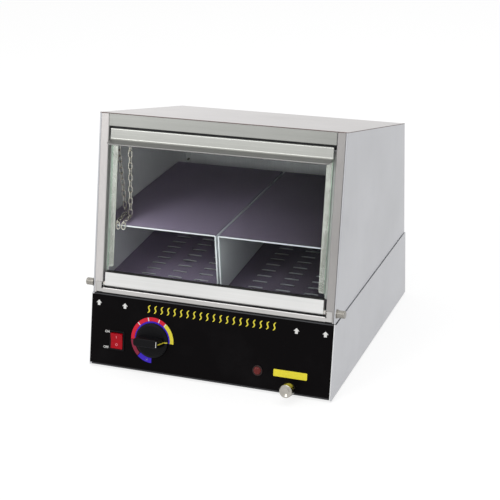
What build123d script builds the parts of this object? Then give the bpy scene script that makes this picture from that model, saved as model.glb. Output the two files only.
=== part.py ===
from build123d import *
from math import acos, cos, degrees, floor, radians, sin, sqrt, tan
import os

os.makedirs("parts", exist_ok=True)

# Counter-top hot dog steamer: a leaning-front cabinet on a control base.
# Millimetres.  X runs across the front, -Y is the front, Z is up.
# "n" is the distance outward from the leaning front face, "s" the distance up its slope.

# ---------------------------------------------------------------- driving dimensions
cabinet_width = 406.0
cabinet_depth = 406.0
front_lean = 15.0
front_slope_length = 401.7
base_height = 112.6
seam_gap = 1.2
hood_inset = 1.5
sheet = 1.0
bend_radius = 2.0
part_gap = 0.3
foot_height = 3.0
foot_radius = 11.0
foot_inset = 17.0

# base folded edges
base_flange = 22.0
bottom_flange = 16.0
corner_return = 3.4
cover_margin = 4.0
cover_thickness = 1.0

# fascia and what it carries
fascia_thickness = 0.6
fascia_bottom = 3.9
fascia_top = 114.9
fascia_side_margin = 3.7
dial_inset = 108.0
dial_s = 53.0
dial_radius = 27.5
dial_rim = 2.2
dial_crown_radius = 24.0
dial_crown_height = 4.4
dial_height = 24.8
dial_clearance = 0.8
grip_half_length = 21.0
grip_base_half_length = 22.6
grip_width = 12.6
grip_base_width = 15.0
grip_corner_radius = 4.6
grip_edge_radius = 1.4
pointer_width = 1.8
pointer_depth = 0.6
shaft_radius = 3.0
running_clearance = 0.05
slip_clearance = 0.03
shaft_flat = 2.2
shaft_grip = 9.0
thermostat_size = 36.0
thermostat_depth = 24.0
thermostat_floor = 6.0
tab_pitch = 14.0
tab_width = 6.3
tab_thickness = 0.8
tab_length = 8.0
switch_inset = 47.5
switch_s = 44.5
switch_bezel_width = 26.0
switch_bezel_height = 31.0
switch_bezel_proud = 1.6
switch_wall = 1.1
switch_depth = 18.0
switch_corner_radius = 2.0
switch_edge_radius = 0.6
switch_floor = 2.0
switch_tab_pitch = 9.0
rocker_width = 19.8
rocker_half_height = 12.3
rocker_tilt = 7.0
rocker_crest = 4.6
rocker_valley = 3.2
rocker_pin_radius = 1.25
rocker_pivot_depth = 1.0
lamp_inset = 119.7
lamp_s = 30.5
lamp_bezel_radius = 8.2
lamp_lens_radius = 6.2
lamp_neck_radius = 4.6
lamp_bezel_height = 1.6
lamp_lens_height = 3.6
lamp_body_length = 20.0
lamp_lens_round = 2.4
lamp_nut_margin = 1.5
lamp_nut_thickness = 5.0
lamp_sleeve_wall = 1.2
lamp_shoulder_depth = 2.0
drain_inset = 63.0
drain_s = 12.5
drain_knob_radius = 10.0
drain_knob_length = 14.0
drain_knob_ridges = 36
drain_knob_dish = 2.2
drain_knob_chamfer = 0.8
drain_collar_radius = 6.8
drain_collar_length = 15.0
drain_knob_gap = 2.0
drain_knob_groove_radius = 0.45
drain_knob_groove_offset = 0.15
drain_turn = 12.0
drain_nut_margin = 2.0
drain_nut_thickness = 3.0
drain_socket_length = 10.0
drain_socket_depth = 7.0
drain_seat = 3.0
drain_stem_gap = 1.0
drain_body_radius = 5.2
drain_stem_radius = 2.5
drain_pipe_radius = 4.0
drain_pipe_wall = 1.0
drain_pipe_bend = 14.0
drain_pipe_grip = 3.5
panel_hole_clearance = 0.3

# water tank and heater
tank_side_inset = 37.0
tank_front = 94.0
tank_back_inset = 20.0
tank_floor = 44.0
tank_corner_radius = 14.0
tank_rim_thickness = 0.8
heater_radius = 4.0
heater_height = 15.0
heater_loop_half_width = 120.0
heater_lead_half_spacing = 30.0
heater_bend_radius = 26.0
heater_lead_out = 14.0
heater_wall_margin = 34.0
heater_nut_radius = 9.0
heater_nut_length = 6.0
terminal_radius = 1.8
terminal_length = 9.0
sensor_x = 78.0
sensor_height = 34.0
sensor_rod_radius = 2.0
sensor_rod_length = 70.0
sensor_bush_radius = 8.0
bulb_radius = 3.0
bulb_length = 76.0
bulb_x = -20.0
bulb_from_front = 34.0
capillary_radius = 0.9
capillary_lead = 14.0
capillary_bend = 5.0
clip_width = 12.0

# gasket, gland and terminal block
gasket_width = 9.0
gasket_inset = 2.1
gland_inset = 53.0
gland_height = 28.0
gland_body_radius = 10.0
gland_nut_radius = 13.5
gland_reach = 14.0
gland_bore_radius = 4.2
block_length = 52.0
block_width = 20.0
block_height = 17.0
block_screws = 4

# hood
hem_width = 3.0
hem_depth = 8.0
hood_flange = 12.0
jamb_inset = 17.8
jamb_depth = 14.0
stop_width = 6.0
stop_clearance = 0.8
post_return = 3.0
post_strip = 2.2
post_seam_s = 135.6
jamb_foot_gap = 4.0
rail_top_s = 127.2
rail_flange_depth = 13.0
header_height = 20.4
header_stop_drop = 7.0
roof_flange_start = 30.0

# inserts and floor
shelf_height = 217.0
insert_door_gap = 11.35
insert_back_inset = 40.0
insert_gap = 3.0
insert_side_gap = 0.8
insert_hem = 2.2
insert_hem_depth = 7.0
insert_edge_radius = 2.4
insert_edge_gap = 1.2
floor_front = 56.0
floor_back_inset = 15.0
floor_front_height = 118.9
floor_slope = 3.1
floor_side_gap = 0.5
floor_leg_inset = 14.0
slot_length = 24.0
slot_width = 4.0
slot_pitch_x = 46.0
slot_pitch_y = 20.0
slot_columns = 3
slot_rows = 15

# door
door_side_gap = 3.9
roll_radius = 4.5
pivot_s = 132.9
bottom_rail_top_s = 151.6
glass_thickness = 4.0
glass_side_inset = 1.0
glass_edge = 0.5
glass_bottom_s = 146.0
glass_top_drop = 6.6
gasket_skin = 0.4
gasket_back = 0.8
gasket_show = 2.8
top_rail_gap = 2.7
top_rail_height = 16.6
top_rail_return = 9.0
lip_reach = 16.0
lip_drop = 7.5
lip_bead_radius = 1.2
lip_corner = 4.0
roll_flat = 0.4
channel_rise = 3.2
channel_step = 0.6
clip_depth = 10.8
clip_side_inset = 16.3
strip_width = 9.8
strip_side_inset = 1.3
strip_bottom_s = 160.6
strip_thickness = 1.2
strip_end_radius = 3.2
bush_length = 14.0
pivot_pin_radius = 2.5
thumb_radius = 5.75
thumb_length = 12.0
thumb_ridges = 24
thumb_ridge_radius = 0.5
thumb_washer_radius = 7.0
thumb_washer_thickness = 1.0

# chain
wire_radius = 0.85
link_length = 13.4
link_width = 7.6
link_play = 0.3
chain_top_margin = 54.0
hood_shelf_links = 4
door_shelf_links = 3
hood_pin_inset = 10.7
hood_pin_depth = 11.0
hood_knee_inset = 12.7
door_staple_inset = 33.2
door_staple_depth = 9.8
staple_half_width = 3.0
staple_bend = 1.6
staple_foot_rise = 3.3
door_knee_inset = 26.7
hood_tail_inset = 17.7
door_tail_inset = 28.7
hood_tip_inset = 19.0
door_tip_inset = 27.2
tail_insert_gap = 0.9
tail_forward = 2.2
chain_rise = 5.0
pin_shoulder = 1.6
pin_head_radius = 2.5
pin_head_length = 1.0

# screws
screw_head_radius = 3.6
screw_head_height = 2.0
screw_radius = 1.9
screw_length = 6.0
screw_slot_width = 0.9
screw_slot_depth = 0.8
hood_screw_margin = 22.0
base_screw_margin = 26.0
cover_screw_pitch = 110.0

# ---------------------------------------------------------------- shared geometry
lean = radians(front_lean)
half_width = cabinet_width / 2
hood_half = half_width - hood_inset
dial_x = dial_inset - half_width
switch_x = switch_inset - half_width
lamp_x = half_width - lamp_inset
drain_x = half_width - drain_inset
jamb_x = half_width - jamb_inset
tank_half_width = half_width - tank_side_inset
tank_back = cabinet_depth - tank_back_inset
gland_x = gland_inset - half_width
floor_back = cabinet_depth - floor_back_inset
insert_front = shelf_height * tan(lean) + insert_door_gap
insert_back = cabinet_depth - insert_back_inset
header_bottom_s = front_slope_length - header_height
door_half_width = jamb_x - door_side_gap
top_rail_top_s = header_bottom_s - top_rail_gap
top_rail_bottom_s = top_rail_top_s - top_rail_height
glass_half_width = door_half_width - glass_side_inset
glass_top_s = top_rail_top_s - glass_top_drop
clip_bottom_s = glass_top_s - clip_depth
clip_half_width = door_half_width - clip_side_inset
strip_outer_x = door_half_width - strip_side_inset
staple_foot_s = clip_bottom_s + staple_foot_rise
drain_reach = drain_collar_length + drain_knob_length
front_reach = drain_reach * cos(lean) - (drain_s - drain_knob_radius + drain_knob_chamfer) * sin(lean)
front_y = -(cabinet_depth + gland_reach - front_reach) / 2
back_y = front_y + cabinet_depth
hood_back_y = back_y - hood_inset
base_top = foot_height + base_height
hood_bottom = base_top + seam_gap
panel_face = -fascia_thickness
panel_back = panel_face - sheet
rim_top = base_top + tank_rim_thickness
shelf_top = foot_height + shelf_height


def at(n, s):
    """(y, z) of a point n in front of the leaning face and s up its slope."""
    y = front_y - n * cos(lean) + s * sin(lean)
    z = foot_height + n * sin(lean) + s * cos(lean)
    return (y, z)


def front_at(n, z):
    """(y, z) where the face offset by n reaches the height z."""
    return at(n, (z - foot_height - n * sin(lean)) / cos(lean))


def slope_plane(s):
    """Cross-section plane of the front frame: local x across, local y inward."""
    y, z = at(0, s)
    return Plane(origin=(0, y, z), x_dir=(1, 0, 0), z_dir=(0, sin(lean), cos(lean)))


def side_plane(x):
    """Side view plane at x: local x is Y and local y is Z."""
    return Plane.YZ.offset(x)


def face_plane(x, s, n=0.0):
    """Plane on the leaning face, centred on a control."""
    y, z = at(n, s)
    return Plane(origin=(x, y, z), x_dir=(1, 0, 0), z_dir=(0, -cos(lean), sin(lean)))


def local_point(y, z):
    """(y, z) of a point given from the front bottom edge of the base."""
    return (front_y + y, foot_height + z)


def finish(part, name):
    """Label a finished piece and write it to its own file."""
    part.label = name
    export_step(part, "parts/" + name + ".step")


front = face_plane(0, 0)
base_front_top = front_at(panel_face, base_top)
base_front_bottom = front_at(panel_face, foot_height)
hood_front_bottom = front_at(0, hood_bottom)
hood_bottom_s = (hood_bottom - foot_height) / cos(lean)
roof_under_s = front_slope_length - sheet
roof_run = (hood_back_y - at(0, front_slope_length)[0]) / cos(lean)
roof_under_run = (hood_back_y - at(0, roof_under_s)[0]) / cos(lean)
tank_rim_half = hood_half - gasket_inset - gasket_width - part_gap
gasket_front_y = hood_front_bottom[0] + gasket_inset
gasket_back_y = hood_back_y - gasket_inset

screw_hole_radius = screw_radius + running_clearance
hood_back_top = at(-roof_under_run, roof_under_s)[1]
hood_screw_x = hood_half - sheet - hood_flange / 2
hood_screw_z = (hood_bottom + hood_screw_margin, (hood_bottom + hood_back_top) / 2,
                hood_back_top - hood_screw_margin)
hood_screw_spots = [(side * hood_screw_x, z) for side in (-1, 1) for z in hood_screw_z]
base_screw_x = half_width - sheet - bottom_flange / 2
base_screw_z = (foot_height + base_screw_margin, base_top - base_screw_margin)
base_screw_spots = [(side * base_screw_x, z) for side in (-1, 1) for z in base_screw_z]
cover_screw_spots = [(side * base_screw_x, (front_y + back_y) / 2 + step * cover_screw_pitch)
                     for side in (-1, 1) for step in (-1, 0, 1)]

# ================================================================ feet and base
with BuildPart() as feet:
    with BuildSketch(Plane.XY) as foot_pads:
        with Locations((0, (front_y + back_y) / 2)):
            with GridLocations(cabinet_width - 2 * foot_inset, cabinet_depth - 3 * foot_inset, 2, 2):
                Circle(foot_radius)
    extrude(amount=foot_height)
    chamfer(feet.edges().group_by(Axis.Z)[0], 0.8)
finish(feet.part, "feet")

with BuildPart() as base_front:
    with BuildSketch(side_plane(-(half_width - corner_return - part_gap))) as front_fold:
        with BuildLine() as front_path:
            FilletPolyline(
                (base_front_bottom[0] + bottom_flange, foot_height),
                base_front_bottom,
                base_front_top,
                (base_front_top[0] + base_flange, base_top),
                radius=bend_radius,
            )
            offset(amount=sheet, side=Side.RIGHT)
        make_face()
    extrude(amount=2 * (half_width - corner_return - part_gap))
    with BuildSketch(front) as front_cuts:
        with Locations((dial_x, dial_s)):
            Circle(shaft_radius + 2.0)
        with Locations((switch_x, switch_s)):
            Rectangle(rocker_width + 2 * (switch_wall + panel_hole_clearance) + 0.8,
                      2 * rocker_half_height + 2 * (switch_wall + panel_hole_clearance) + 2.4)
        with Locations((lamp_x, lamp_s)):
            Circle(lamp_neck_radius + panel_hole_clearance)
        with Locations((drain_x, drain_s)):
            Circle(drain_body_radius + panel_hole_clearance)
    extrude(amount=-3 * sheet, mode=Mode.SUBTRACT)
finish(base_front.part, "base_front")


def base_side_profile():
    """Side view of the base: leaning front edge, level top and bottom, upright back."""
    return [base_front_bottom, base_front_top, (back_y, base_top), (back_y, foot_height)]


flange_front_y = base_front_top[0] + base_flange + part_gap
flange_back_y = back_y - sheet - bottom_flange - part_gap

with BuildPart() as base_right_side:
    with BuildSketch(side_plane(half_width - sheet)) as right_wall:
        with BuildLine():
            Polyline(*base_side_profile(), close=True)
        make_face()
    extrude(amount=sheet)
    with BuildSketch(side_plane(half_width - corner_return)) as right_return:
        with BuildLine():
            Polyline(
                base_front_bottom,
                base_front_top,
                front_at(panel_back, base_top),
                front_at(panel_back, foot_height),
                close=True,
            )
        make_face()
    extrude(amount=corner_return)
    with BuildSketch(Plane.XY.offset(base_top)) as right_top_flange:
        with Locations((half_width - sheet, flange_front_y)):
            Rectangle(base_flange, flange_back_y - flange_front_y, align=(Align.MAX, Align.MIN))
    extrude(amount=-sheet)
    with BuildSketch(Plane.XY.offset(foot_height)) as right_bottom_flange:
        with Locations((half_width - sheet, base_front_bottom[0] + bottom_flange + part_gap)):
            Rectangle(bottom_flange, flange_back_y - base_front_bottom[0] - bottom_flange - part_gap,
                      align=(Align.MAX, Align.MIN))
        with Locations(*cover_screw_spots):
            Circle(screw_hole_radius, mode=Mode.SUBTRACT)
    extrude(amount=sheet)
    with BuildSketch(Plane.XZ.offset(sheet - back_y)) as right_back_flange:
        with Locations((half_width - sheet, foot_height + 2 * sheet + cover_thickness)):
            Rectangle(bottom_flange, base_height - 4 * sheet - cover_thickness, align=(Align.MAX, Align.MIN))
        with Locations(*base_screw_spots):
            Circle(screw_hole_radius, mode=Mode.SUBTRACT)
    extrude(amount=sheet)
finish(base_right_side.part, "base_right_side")

with BuildPart() as base_left_side:
    mirror(base_right_side.part, about=Plane.YZ)
finish(base_left_side.part, "base_left_side")

with BuildPart() as base_back:
    with BuildSketch(Plane.XZ.offset(-back_y)) as back_wall:
        with Locations((0, foot_height)):
            Rectangle(2 * (half_width - sheet), base_height, align=(Align.CENTER, Align.MIN))
    extrude(amount=sheet)
    with BuildSketch(Plane.XY.offset(base_top)) as back_top_flange:
        with Locations((0, back_y - sheet)):
            Rectangle(2 * (half_width - sheet), bottom_flange, align=(Align.CENTER, Align.MAX))
    extrude(amount=-sheet)
    with BuildSketch(Plane.XY.offset(foot_height)) as back_bottom_flange:
        with Locations((0, back_y - sheet)):
            Rectangle(2 * (half_width - sheet), bottom_flange, align=(Align.CENTER, Align.MAX))
    extrude(amount=sheet)
    with BuildSketch(Plane.XZ.offset(-back_y)) as back_cuts:
        with Locations((gland_x, foot_height + gland_height)):
            Circle(gland_body_radius + panel_hole_clearance)
        with Locations((0, foot_height + base_height / 2)):
            with GridLocations(slot_pitch_x, slot_pitch_y, 4, 3):
                SlotOverall(slot_length, slot_width)
        with Locations(*base_screw_spots):
            Circle(screw_hole_radius)
    extrude(amount=2 * sheet, mode=Mode.SUBTRACT)
finish(base_back.part, "base_back")

cover_bottom = foot_height + sheet
cover_half = half_width - cover_margin
cover_front_y = front_at(panel_back, cover_bottom)[0] + cover_margin
cover_back_y = back_y - cover_margin

with BuildPart() as base_cover:
    with BuildSketch(Plane.XY.offset(cover_bottom)) as cover_sheet:
        with Locations((0, cover_front_y)):
            Rectangle(2 * cover_half, cover_back_y - cover_front_y, align=(Align.CENTER, Align.MIN))
        with Locations((0, (cover_front_y + cover_back_y) / 2)):
            with GridLocations(slot_pitch_x, slot_pitch_y, 5, 6):
                SlotOverall(slot_length, slot_width, mode=Mode.SUBTRACT)
        with Locations(*cover_screw_spots):
            Circle(screw_hole_radius, mode=Mode.SUBTRACT)
    extrude(amount=cover_thickness)
finish(base_cover.part, "base_cover")
cover_top = cover_bottom + cover_thickness

with BuildPart() as fascia:
    with BuildSketch(front.offset(panel_face)) as fascia_sheet:
        with Locations((-half_width + fascia_thickness, fascia_bottom)):
            Rectangle(cabinet_width - fascia_side_margin - fascia_thickness, fascia_top - fascia_bottom,
                      align=(Align.MIN, Align.MIN))
        with Locations((dial_x, dial_s)):
            Circle(shaft_radius + 2.0, mode=Mode.SUBTRACT)
        with Locations((switch_x, switch_s)):
            Rectangle(rocker_width + 2 * (switch_wall + panel_hole_clearance) + 0.8,
                      2 * rocker_half_height + 2 * (switch_wall + panel_hole_clearance) + 2.4,
                      mode=Mode.SUBTRACT)
        with Locations((lamp_x, lamp_s)):
            Circle(lamp_neck_radius + panel_hole_clearance, mode=Mode.SUBTRACT)
        with Locations((drain_x, drain_s)):
            Circle(drain_body_radius + panel_hole_clearance, mode=Mode.SUBTRACT)
    extrude(amount=fascia_thickness)
finish(fascia.part, "fascia")

# ================================================================ dial and thermostat
dial_plane = face_plane(dial_x, dial_s)

rim_plane = dial_plane.offset(dial_clearance + dial_rim)
crown_n = dial_clearance + dial_crown_height
grip_top_n = dial_clearance + dial_height
dial_section_plane = Plane(origin=dial_plane.origin, x_dir=(1, 0, 0), z_dir=(0, -sin(lean), -cos(lean)))

with BuildPart() as dial_knob:
    with BuildSketch(dial_plane.offset(dial_clearance)) as dial_skirt:
        Circle(dial_radius)
    extrude(amount=dial_rim)
    with BuildSketch(rim_plane) as crown_root:
        Circle(dial_radius)
    with BuildSketch(dial_plane.offset(crown_n)) as crown_top:
        Circle(dial_crown_radius)
    loft()
    with BuildSketch(rim_plane) as grip_root:
        RectangleRounded(2 * grip_base_half_length, grip_base_width, grip_corner_radius)
    with BuildSketch(dial_plane.offset(grip_top_n)) as grip_top:
        RectangleRounded(2 * grip_half_length, grip_width, grip_corner_radius)
    loft()
    fillet(dial_knob.faces().sort_by(Axis.Y)[0].edges(), grip_edge_radius)
    with BuildSketch(dial_section_plane) as pointer_groove:
        with BuildLine():
            Polyline(
                (grip_half_length - pointer_depth, grip_top_n + sheet),
                (grip_base_half_length - pointer_depth, crown_n - pointer_depth),
                (dial_crown_radius, crown_n - pointer_depth),
                (dial_radius + pointer_depth, dial_clearance + dial_rim - pointer_depth),
                (dial_radius + pointer_depth, grip_top_n + sheet),
                close=True,
            )
        make_face()
    extrude(amount=pointer_width / 2, both=True, mode=Mode.SUBTRACT)
    with BuildSketch(dial_plane.offset(dial_clearance)) as knob_bore:
        Circle(shaft_radius + slip_clearance)
        with Locations((0, shaft_flat + slip_clearance)):
            Rectangle(3 * shaft_radius, 2 * shaft_radius, align=(Align.CENTER, Align.MIN),
                      mode=Mode.SUBTRACT)
    extrude(amount=shaft_grip, mode=Mode.SUBTRACT)
finish(dial_knob.part, "dial_knob")

with BuildPart() as dial_shaft:
    with BuildSketch(dial_plane.offset(panel_back - thermostat_depth + thermostat_floor)) as shaft_round:
        Circle(shaft_radius)
    extrude(amount=thermostat_depth - thermostat_floor - panel_back)
    with BuildSketch(dial_plane) as shaft_end:
        Circle(shaft_radius)
        with Locations((0, shaft_flat)):
            Rectangle(3 * shaft_radius, 2 * shaft_radius, align=(Align.CENTER, Align.MIN),
                      mode=Mode.SUBTRACT)
    extrude(amount=dial_clearance + shaft_grip - part_gap)
finish(dial_shaft.part, "dial_shaft")

with BuildPart() as thermostat_body:
    with BuildSketch(dial_plane.offset(panel_back)) as thermostat_case:
        RectangleRounded(thermostat_size, thermostat_size, 3.0)
    extrude(amount=-thermostat_depth)
    with BuildSketch(dial_plane.offset(panel_back)) as thermostat_bore:
        Circle(shaft_radius + running_clearance)
    extrude(amount=thermostat_floor - thermostat_depth - part_gap, mode=Mode.SUBTRACT)
    with BuildSketch(dial_plane.offset(panel_back - thermostat_depth)) as thermostat_tabs:
        with GridLocations(tab_pitch, tab_thickness, 2, 1):
            Rectangle(tab_width, tab_thickness)
    extrude(amount=-tab_length)
finish(thermostat_body.part, "thermostat_body")

# ================================================================ rocker switch
switch_plane = face_plane(switch_x, switch_s)
switch_opening_width = rocker_width + 0.8
switch_opening_height = 2 * rocker_half_height + 2.4
rocker_pivot = at(-rocker_pivot_depth, switch_s)

with BuildPart() as switch_frame:
    with BuildSketch(switch_plane) as bezel:
        RectangleRounded(switch_bezel_width, switch_bezel_height, switch_corner_radius)
    extrude(amount=switch_bezel_proud)
    fillet(switch_frame.faces().sort_by(Axis.Y)[0].edges(), switch_edge_radius)
    with BuildSketch(switch_plane) as housing:
        Rectangle(switch_opening_width + 2 * switch_wall, switch_opening_height + 2 * switch_wall)
    extrude(amount=-switch_depth)
    with BuildSketch(switch_plane.offset(switch_bezel_proud)) as rocker_well:
        Rectangle(switch_opening_width, switch_opening_height)
    extrude(amount=-(switch_depth + switch_bezel_proud - switch_floor), mode=Mode.SUBTRACT)
    with BuildSketch(side_plane(switch_x)) as pin_holes:
        with Locations(rocker_pivot):
            Circle(rocker_pin_radius + running_clearance)
    extrude(amount=switch_bezel_width, both=True, mode=Mode.SUBTRACT)
    with BuildSketch(switch_plane.offset(-switch_depth)) as switch_tabs:
        with GridLocations(tab_thickness, switch_tab_pitch, 1, 3):
            Rectangle(tab_thickness, tab_width)
    extrude(amount=-tab_length)
finish(switch_frame.part, "switch_frame")


def rocker_point(n, s):
    """(y, z) of a rocker outline point, turned to the switched-off position."""
    turn = radians(rocker_tilt)
    return at(-rocker_pivot_depth + n * cos(turn) + s * sin(turn), switch_s + s * cos(turn) - n * sin(turn))


with BuildPart() as rocker:
    with BuildSketch(side_plane(switch_x - rocker_width / 2)) as rocker_outline:
        with BuildLine():
            Polyline(
                rocker_point(rocker_crest, rocker_half_height),
                rocker_point(rocker_valley, 0),
                rocker_point(rocker_crest, -rocker_half_height),
                rocker_point(-1.0, -rocker_half_height + 0.4),
                rocker_point(-7.0, -4.0),
                rocker_point(-7.0, 4.0),
                rocker_point(-1.0, rocker_half_height - 0.4),
                close=True,
            )
        make_face()
    extrude(amount=rocker_width)
    with BuildSketch(side_plane(switch_x)) as rocker_pins:
        with Locations(rocker_pivot):
            Circle(rocker_pin_radius)
    extrude(amount=rocker_width / 2 + 0.4 + switch_wall * 0.7, both=True)
finish(rocker.part, "rocker")

# ================================================================ indicator lamp
lamp_plane = face_plane(lamp_x, lamp_s)

with BuildPart() as lamp_bezel:
    with BuildSketch(lamp_plane) as lamp_ring:
        Circle(lamp_bezel_radius)
        Circle(lamp_lens_radius, mode=Mode.SUBTRACT)
    extrude(amount=lamp_bezel_height)
    chamfer(lamp_bezel.edges().filter_by(GeomType.CIRCLE).sort_by(Axis.Y)[0], 0.5)
finish(lamp_bezel.part, "lamp_bezel")

with BuildPart() as lamp_lens:
    with BuildSketch(lamp_plane) as lens_disc:
        Circle(lamp_lens_radius - slip_clearance)
    extrude(amount=lamp_lens_height)
    fillet(lamp_lens.faces().sort_by(Axis.Y)[0].edges(), lamp_lens_round)
    with BuildSketch(lamp_plane) as lens_neck:
        Circle(lamp_neck_radius)
    extrude(amount=-lamp_body_length / 2)
finish(lamp_lens.part, "lamp_lens")

with BuildPart() as lamp_body:
    with BuildSketch(lamp_plane.offset(panel_back)) as lamp_nut:
        RegularPolygon(lamp_bezel_radius + lamp_nut_margin, 6)
        Circle(lamp_neck_radius + slip_clearance, mode=Mode.SUBTRACT)
    extrude(amount=-lamp_nut_thickness)
    with BuildSketch(lamp_plane.offset(-lamp_body_length / 2)) as lamp_tail:
        Circle(lamp_neck_radius)
    extrude(amount=-lamp_body_length / 2)
    with BuildSketch(lamp_plane.offset(panel_back - lamp_nut_thickness)) as lamp_sleeve:
        Circle(lamp_neck_radius + lamp_sleeve_wall)
        Circle(lamp_neck_radius + slip_clearance, mode=Mode.SUBTRACT)
    extrude(amount=-(lamp_body_length / 2 - lamp_nut_thickness + panel_back))
    with BuildSketch(lamp_plane.offset(-lamp_body_length / 2)) as lamp_shoulder:
        Circle(lamp_neck_radius + lamp_sleeve_wall)
    extrude(amount=-lamp_shoulder_depth)
finish(lamp_body.part, "lamp_body")

# ================================================================ drain valve
drain_plane = face_plane(drain_x, drain_s)
drain_axis_end = at(-drain_turn, drain_s)
drain_riser_y = front_y + tank_front + 2 * drain_pipe_radius + tank_corner_radius
tank_floor_z = foot_height + tank_floor

with BuildPart() as drain_body:
    with BuildSketch(drain_plane) as drain_collar:
        Circle(drain_collar_radius)
    extrude(amount=drain_collar_length - drain_knob_gap)
    chamfer(drain_body.faces().sort_by(Axis.Y)[0].edges(), 0.6)
    with BuildSketch(drain_plane) as drain_barrel:
        Circle(drain_body_radius)
    extrude(amount=-drain_turn)
    with BuildSketch(drain_plane.offset(panel_back)) as drain_nut:
        RegularPolygon(drain_body_radius + drain_nut_margin, 6, rotation=30)
    extrude(amount=-drain_nut_thickness)
    with BuildSketch(Plane(origin=(drain_x, *drain_axis_end), x_dir=(1, 0, 0), z_dir=(0, 1, 0))) as socket:
        Circle(drain_body_radius)
    extrude(amount=drain_socket_length)
    with BuildSketch(drain_plane.offset(drain_collar_length - drain_knob_gap)) as stem_bore:
        Circle(drain_stem_radius + running_clearance)
    extrude(amount=-(drain_collar_length - drain_knob_gap + drain_turn - drain_seat), mode=Mode.SUBTRACT)
    with BuildSketch(Plane(origin=(drain_x, drain_axis_end[0] + drain_socket_length, drain_axis_end[1]),
                           x_dir=(1, 0, 0), z_dir=(0, 1, 0))) as pipe_socket:
        Circle(drain_pipe_radius + slip_clearance)
    extrude(amount=-drain_socket_depth, mode=Mode.SUBTRACT)
finish(drain_body.part, "drain_body")

with BuildPart() as drain_knob:
    with BuildSketch(drain_plane.offset(drain_collar_length)) as knob_disc:
        Circle(drain_knob_radius)
        with PolarLocations(drain_knob_radius + drain_knob_groove_offset, drain_knob_ridges):
            Circle(drain_knob_groove_radius, mode=Mode.SUBTRACT)
    extrude(amount=drain_knob_length - drain_knob_chamfer)
    with BuildSketch(drain_plane.offset(drain_reach - drain_knob_chamfer)) as knob_rim:
        Circle(drain_knob_radius - 0.3)
    extrude(amount=drain_knob_chamfer, taper=45)
    with BuildSketch(drain_plane.offset(drain_reach)) as knob_dish:
        Circle(drain_knob_radius - 2.0)
    extrude(amount=-drain_knob_dish, taper=60, mode=Mode.SUBTRACT)
    with BuildSketch(drain_plane.offset(drain_collar_length)) as drain_stem:
        Circle(drain_stem_radius)
    extrude(amount=-(drain_collar_length + drain_turn - drain_seat - drain_stem_gap))
finish(drain_knob.part, "drain_knob")

with BuildPart() as drain_pipe:
    with BuildLine():
        pipe_path = FilletPolyline(
            (drain_x, drain_axis_end[0] + drain_pipe_grip, drain_axis_end[1]),
            (drain_x, drain_riser_y, drain_axis_end[1]),
            (drain_x, drain_riser_y, tank_floor_z),
            radius=drain_pipe_bend,
        )
    with BuildSketch(Plane(origin=pipe_path @ 0, z_dir=pipe_path % 0)) as pipe_section:
        Circle(drain_pipe_radius)
        Circle(drain_pipe_radius - drain_pipe_wall, mode=Mode.SUBTRACT)
    sweep()
finish(drain_pipe.part, "drain_pipe")

# ================================================================ water tank, heater, sensing
tank_front_y = front_y + tank_front
tank_back_y = front_y + tank_back
tank_mid_y = (tank_front_y + tank_back_y) / 2
tank_length = tank_back - tank_front
heater_z = tank_floor_z + heater_height
sensor_z = tank_floor_z + sensor_height
deck_front_y = gasket_front_y + gasket_width + part_gap
deck_back_y = gasket_back_y - gasket_width - part_gap

with BuildPart() as water_tank:
    with BuildSketch(Plane.XY.offset(tank_floor_z)) as tank_outline:
        with Locations((0, tank_mid_y)):
            RectangleRounded(2 * tank_half_width, tank_length, tank_corner_radius)
    extrude(amount=base_top - tank_floor_z)
    with BuildSketch(Plane.XY.offset(base_top)) as tank_rim:
        with Locations((0, deck_front_y)):
            Rectangle(2 * tank_rim_half, deck_back_y - deck_front_y, align=(Align.CENTER, Align.MIN))
    extrude(amount=tank_rim_thickness)
    with BuildSketch(Plane.XY.offset(rim_top)) as tank_hollow:
        with Locations((0, tank_mid_y)):
            RectangleRounded(2 * (tank_half_width - sheet), tank_length - 2 * sheet,
                             tank_corner_radius - sheet)
    extrude(amount=-(rim_top - tank_floor_z - sheet), mode=Mode.SUBTRACT)
    with BuildSketch(Plane.XY.offset(tank_floor_z)) as tank_drain:
        with Locations((drain_x, drain_riser_y)):
            Circle(drain_pipe_radius - drain_pipe_wall)
    extrude(amount=2 * sheet, mode=Mode.SUBTRACT)
    with BuildSketch(Plane.XZ.offset(-tank_front_y)) as tank_ports:
        with Locations((-heater_lead_half_spacing, heater_z), (heater_lead_half_spacing, heater_z)):
            Circle(heater_radius + slip_clearance)
        with Locations((sensor_x, sensor_z)):
            Circle(sensor_rod_radius + 2.0)
    extrude(amount=-2 * sheet, mode=Mode.SUBTRACT)
finish(water_tank.part, "water_tank")

heater_start_y = tank_front_y - heater_lead_out
heater_near_y = tank_front_y + heater_wall_margin
heater_far_y = tank_back_y - heater_wall_margin

with BuildPart() as heater_element:
    with BuildLine():
        heater_path = FilletPolyline(
            (-heater_lead_half_spacing, heater_start_y, heater_z),
            (-heater_lead_half_spacing, heater_near_y, heater_z),
            (-heater_loop_half_width, heater_near_y, heater_z),
            (-heater_loop_half_width, heater_far_y, heater_z),
            (heater_loop_half_width, heater_far_y, heater_z),
            (heater_loop_half_width, heater_near_y, heater_z),
            (heater_lead_half_spacing, heater_near_y, heater_z),
            (heater_lead_half_spacing, heater_start_y, heater_z),
            radius=heater_bend_radius,
        )
    with BuildSketch(Plane(origin=heater_path @ 0, z_dir=heater_path % 0)) as heater_section:
        Circle(heater_radius)
    sweep()
    with BuildSketch(Plane.XZ.offset(-heater_start_y)) as heater_terminals:
        with Locations((-heater_lead_half_spacing, heater_z), (heater_lead_half_spacing, heater_z)):
            Circle(terminal_radius)
    extrude(amount=terminal_length)
finish(heater_element.part, "heater_element")

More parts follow.
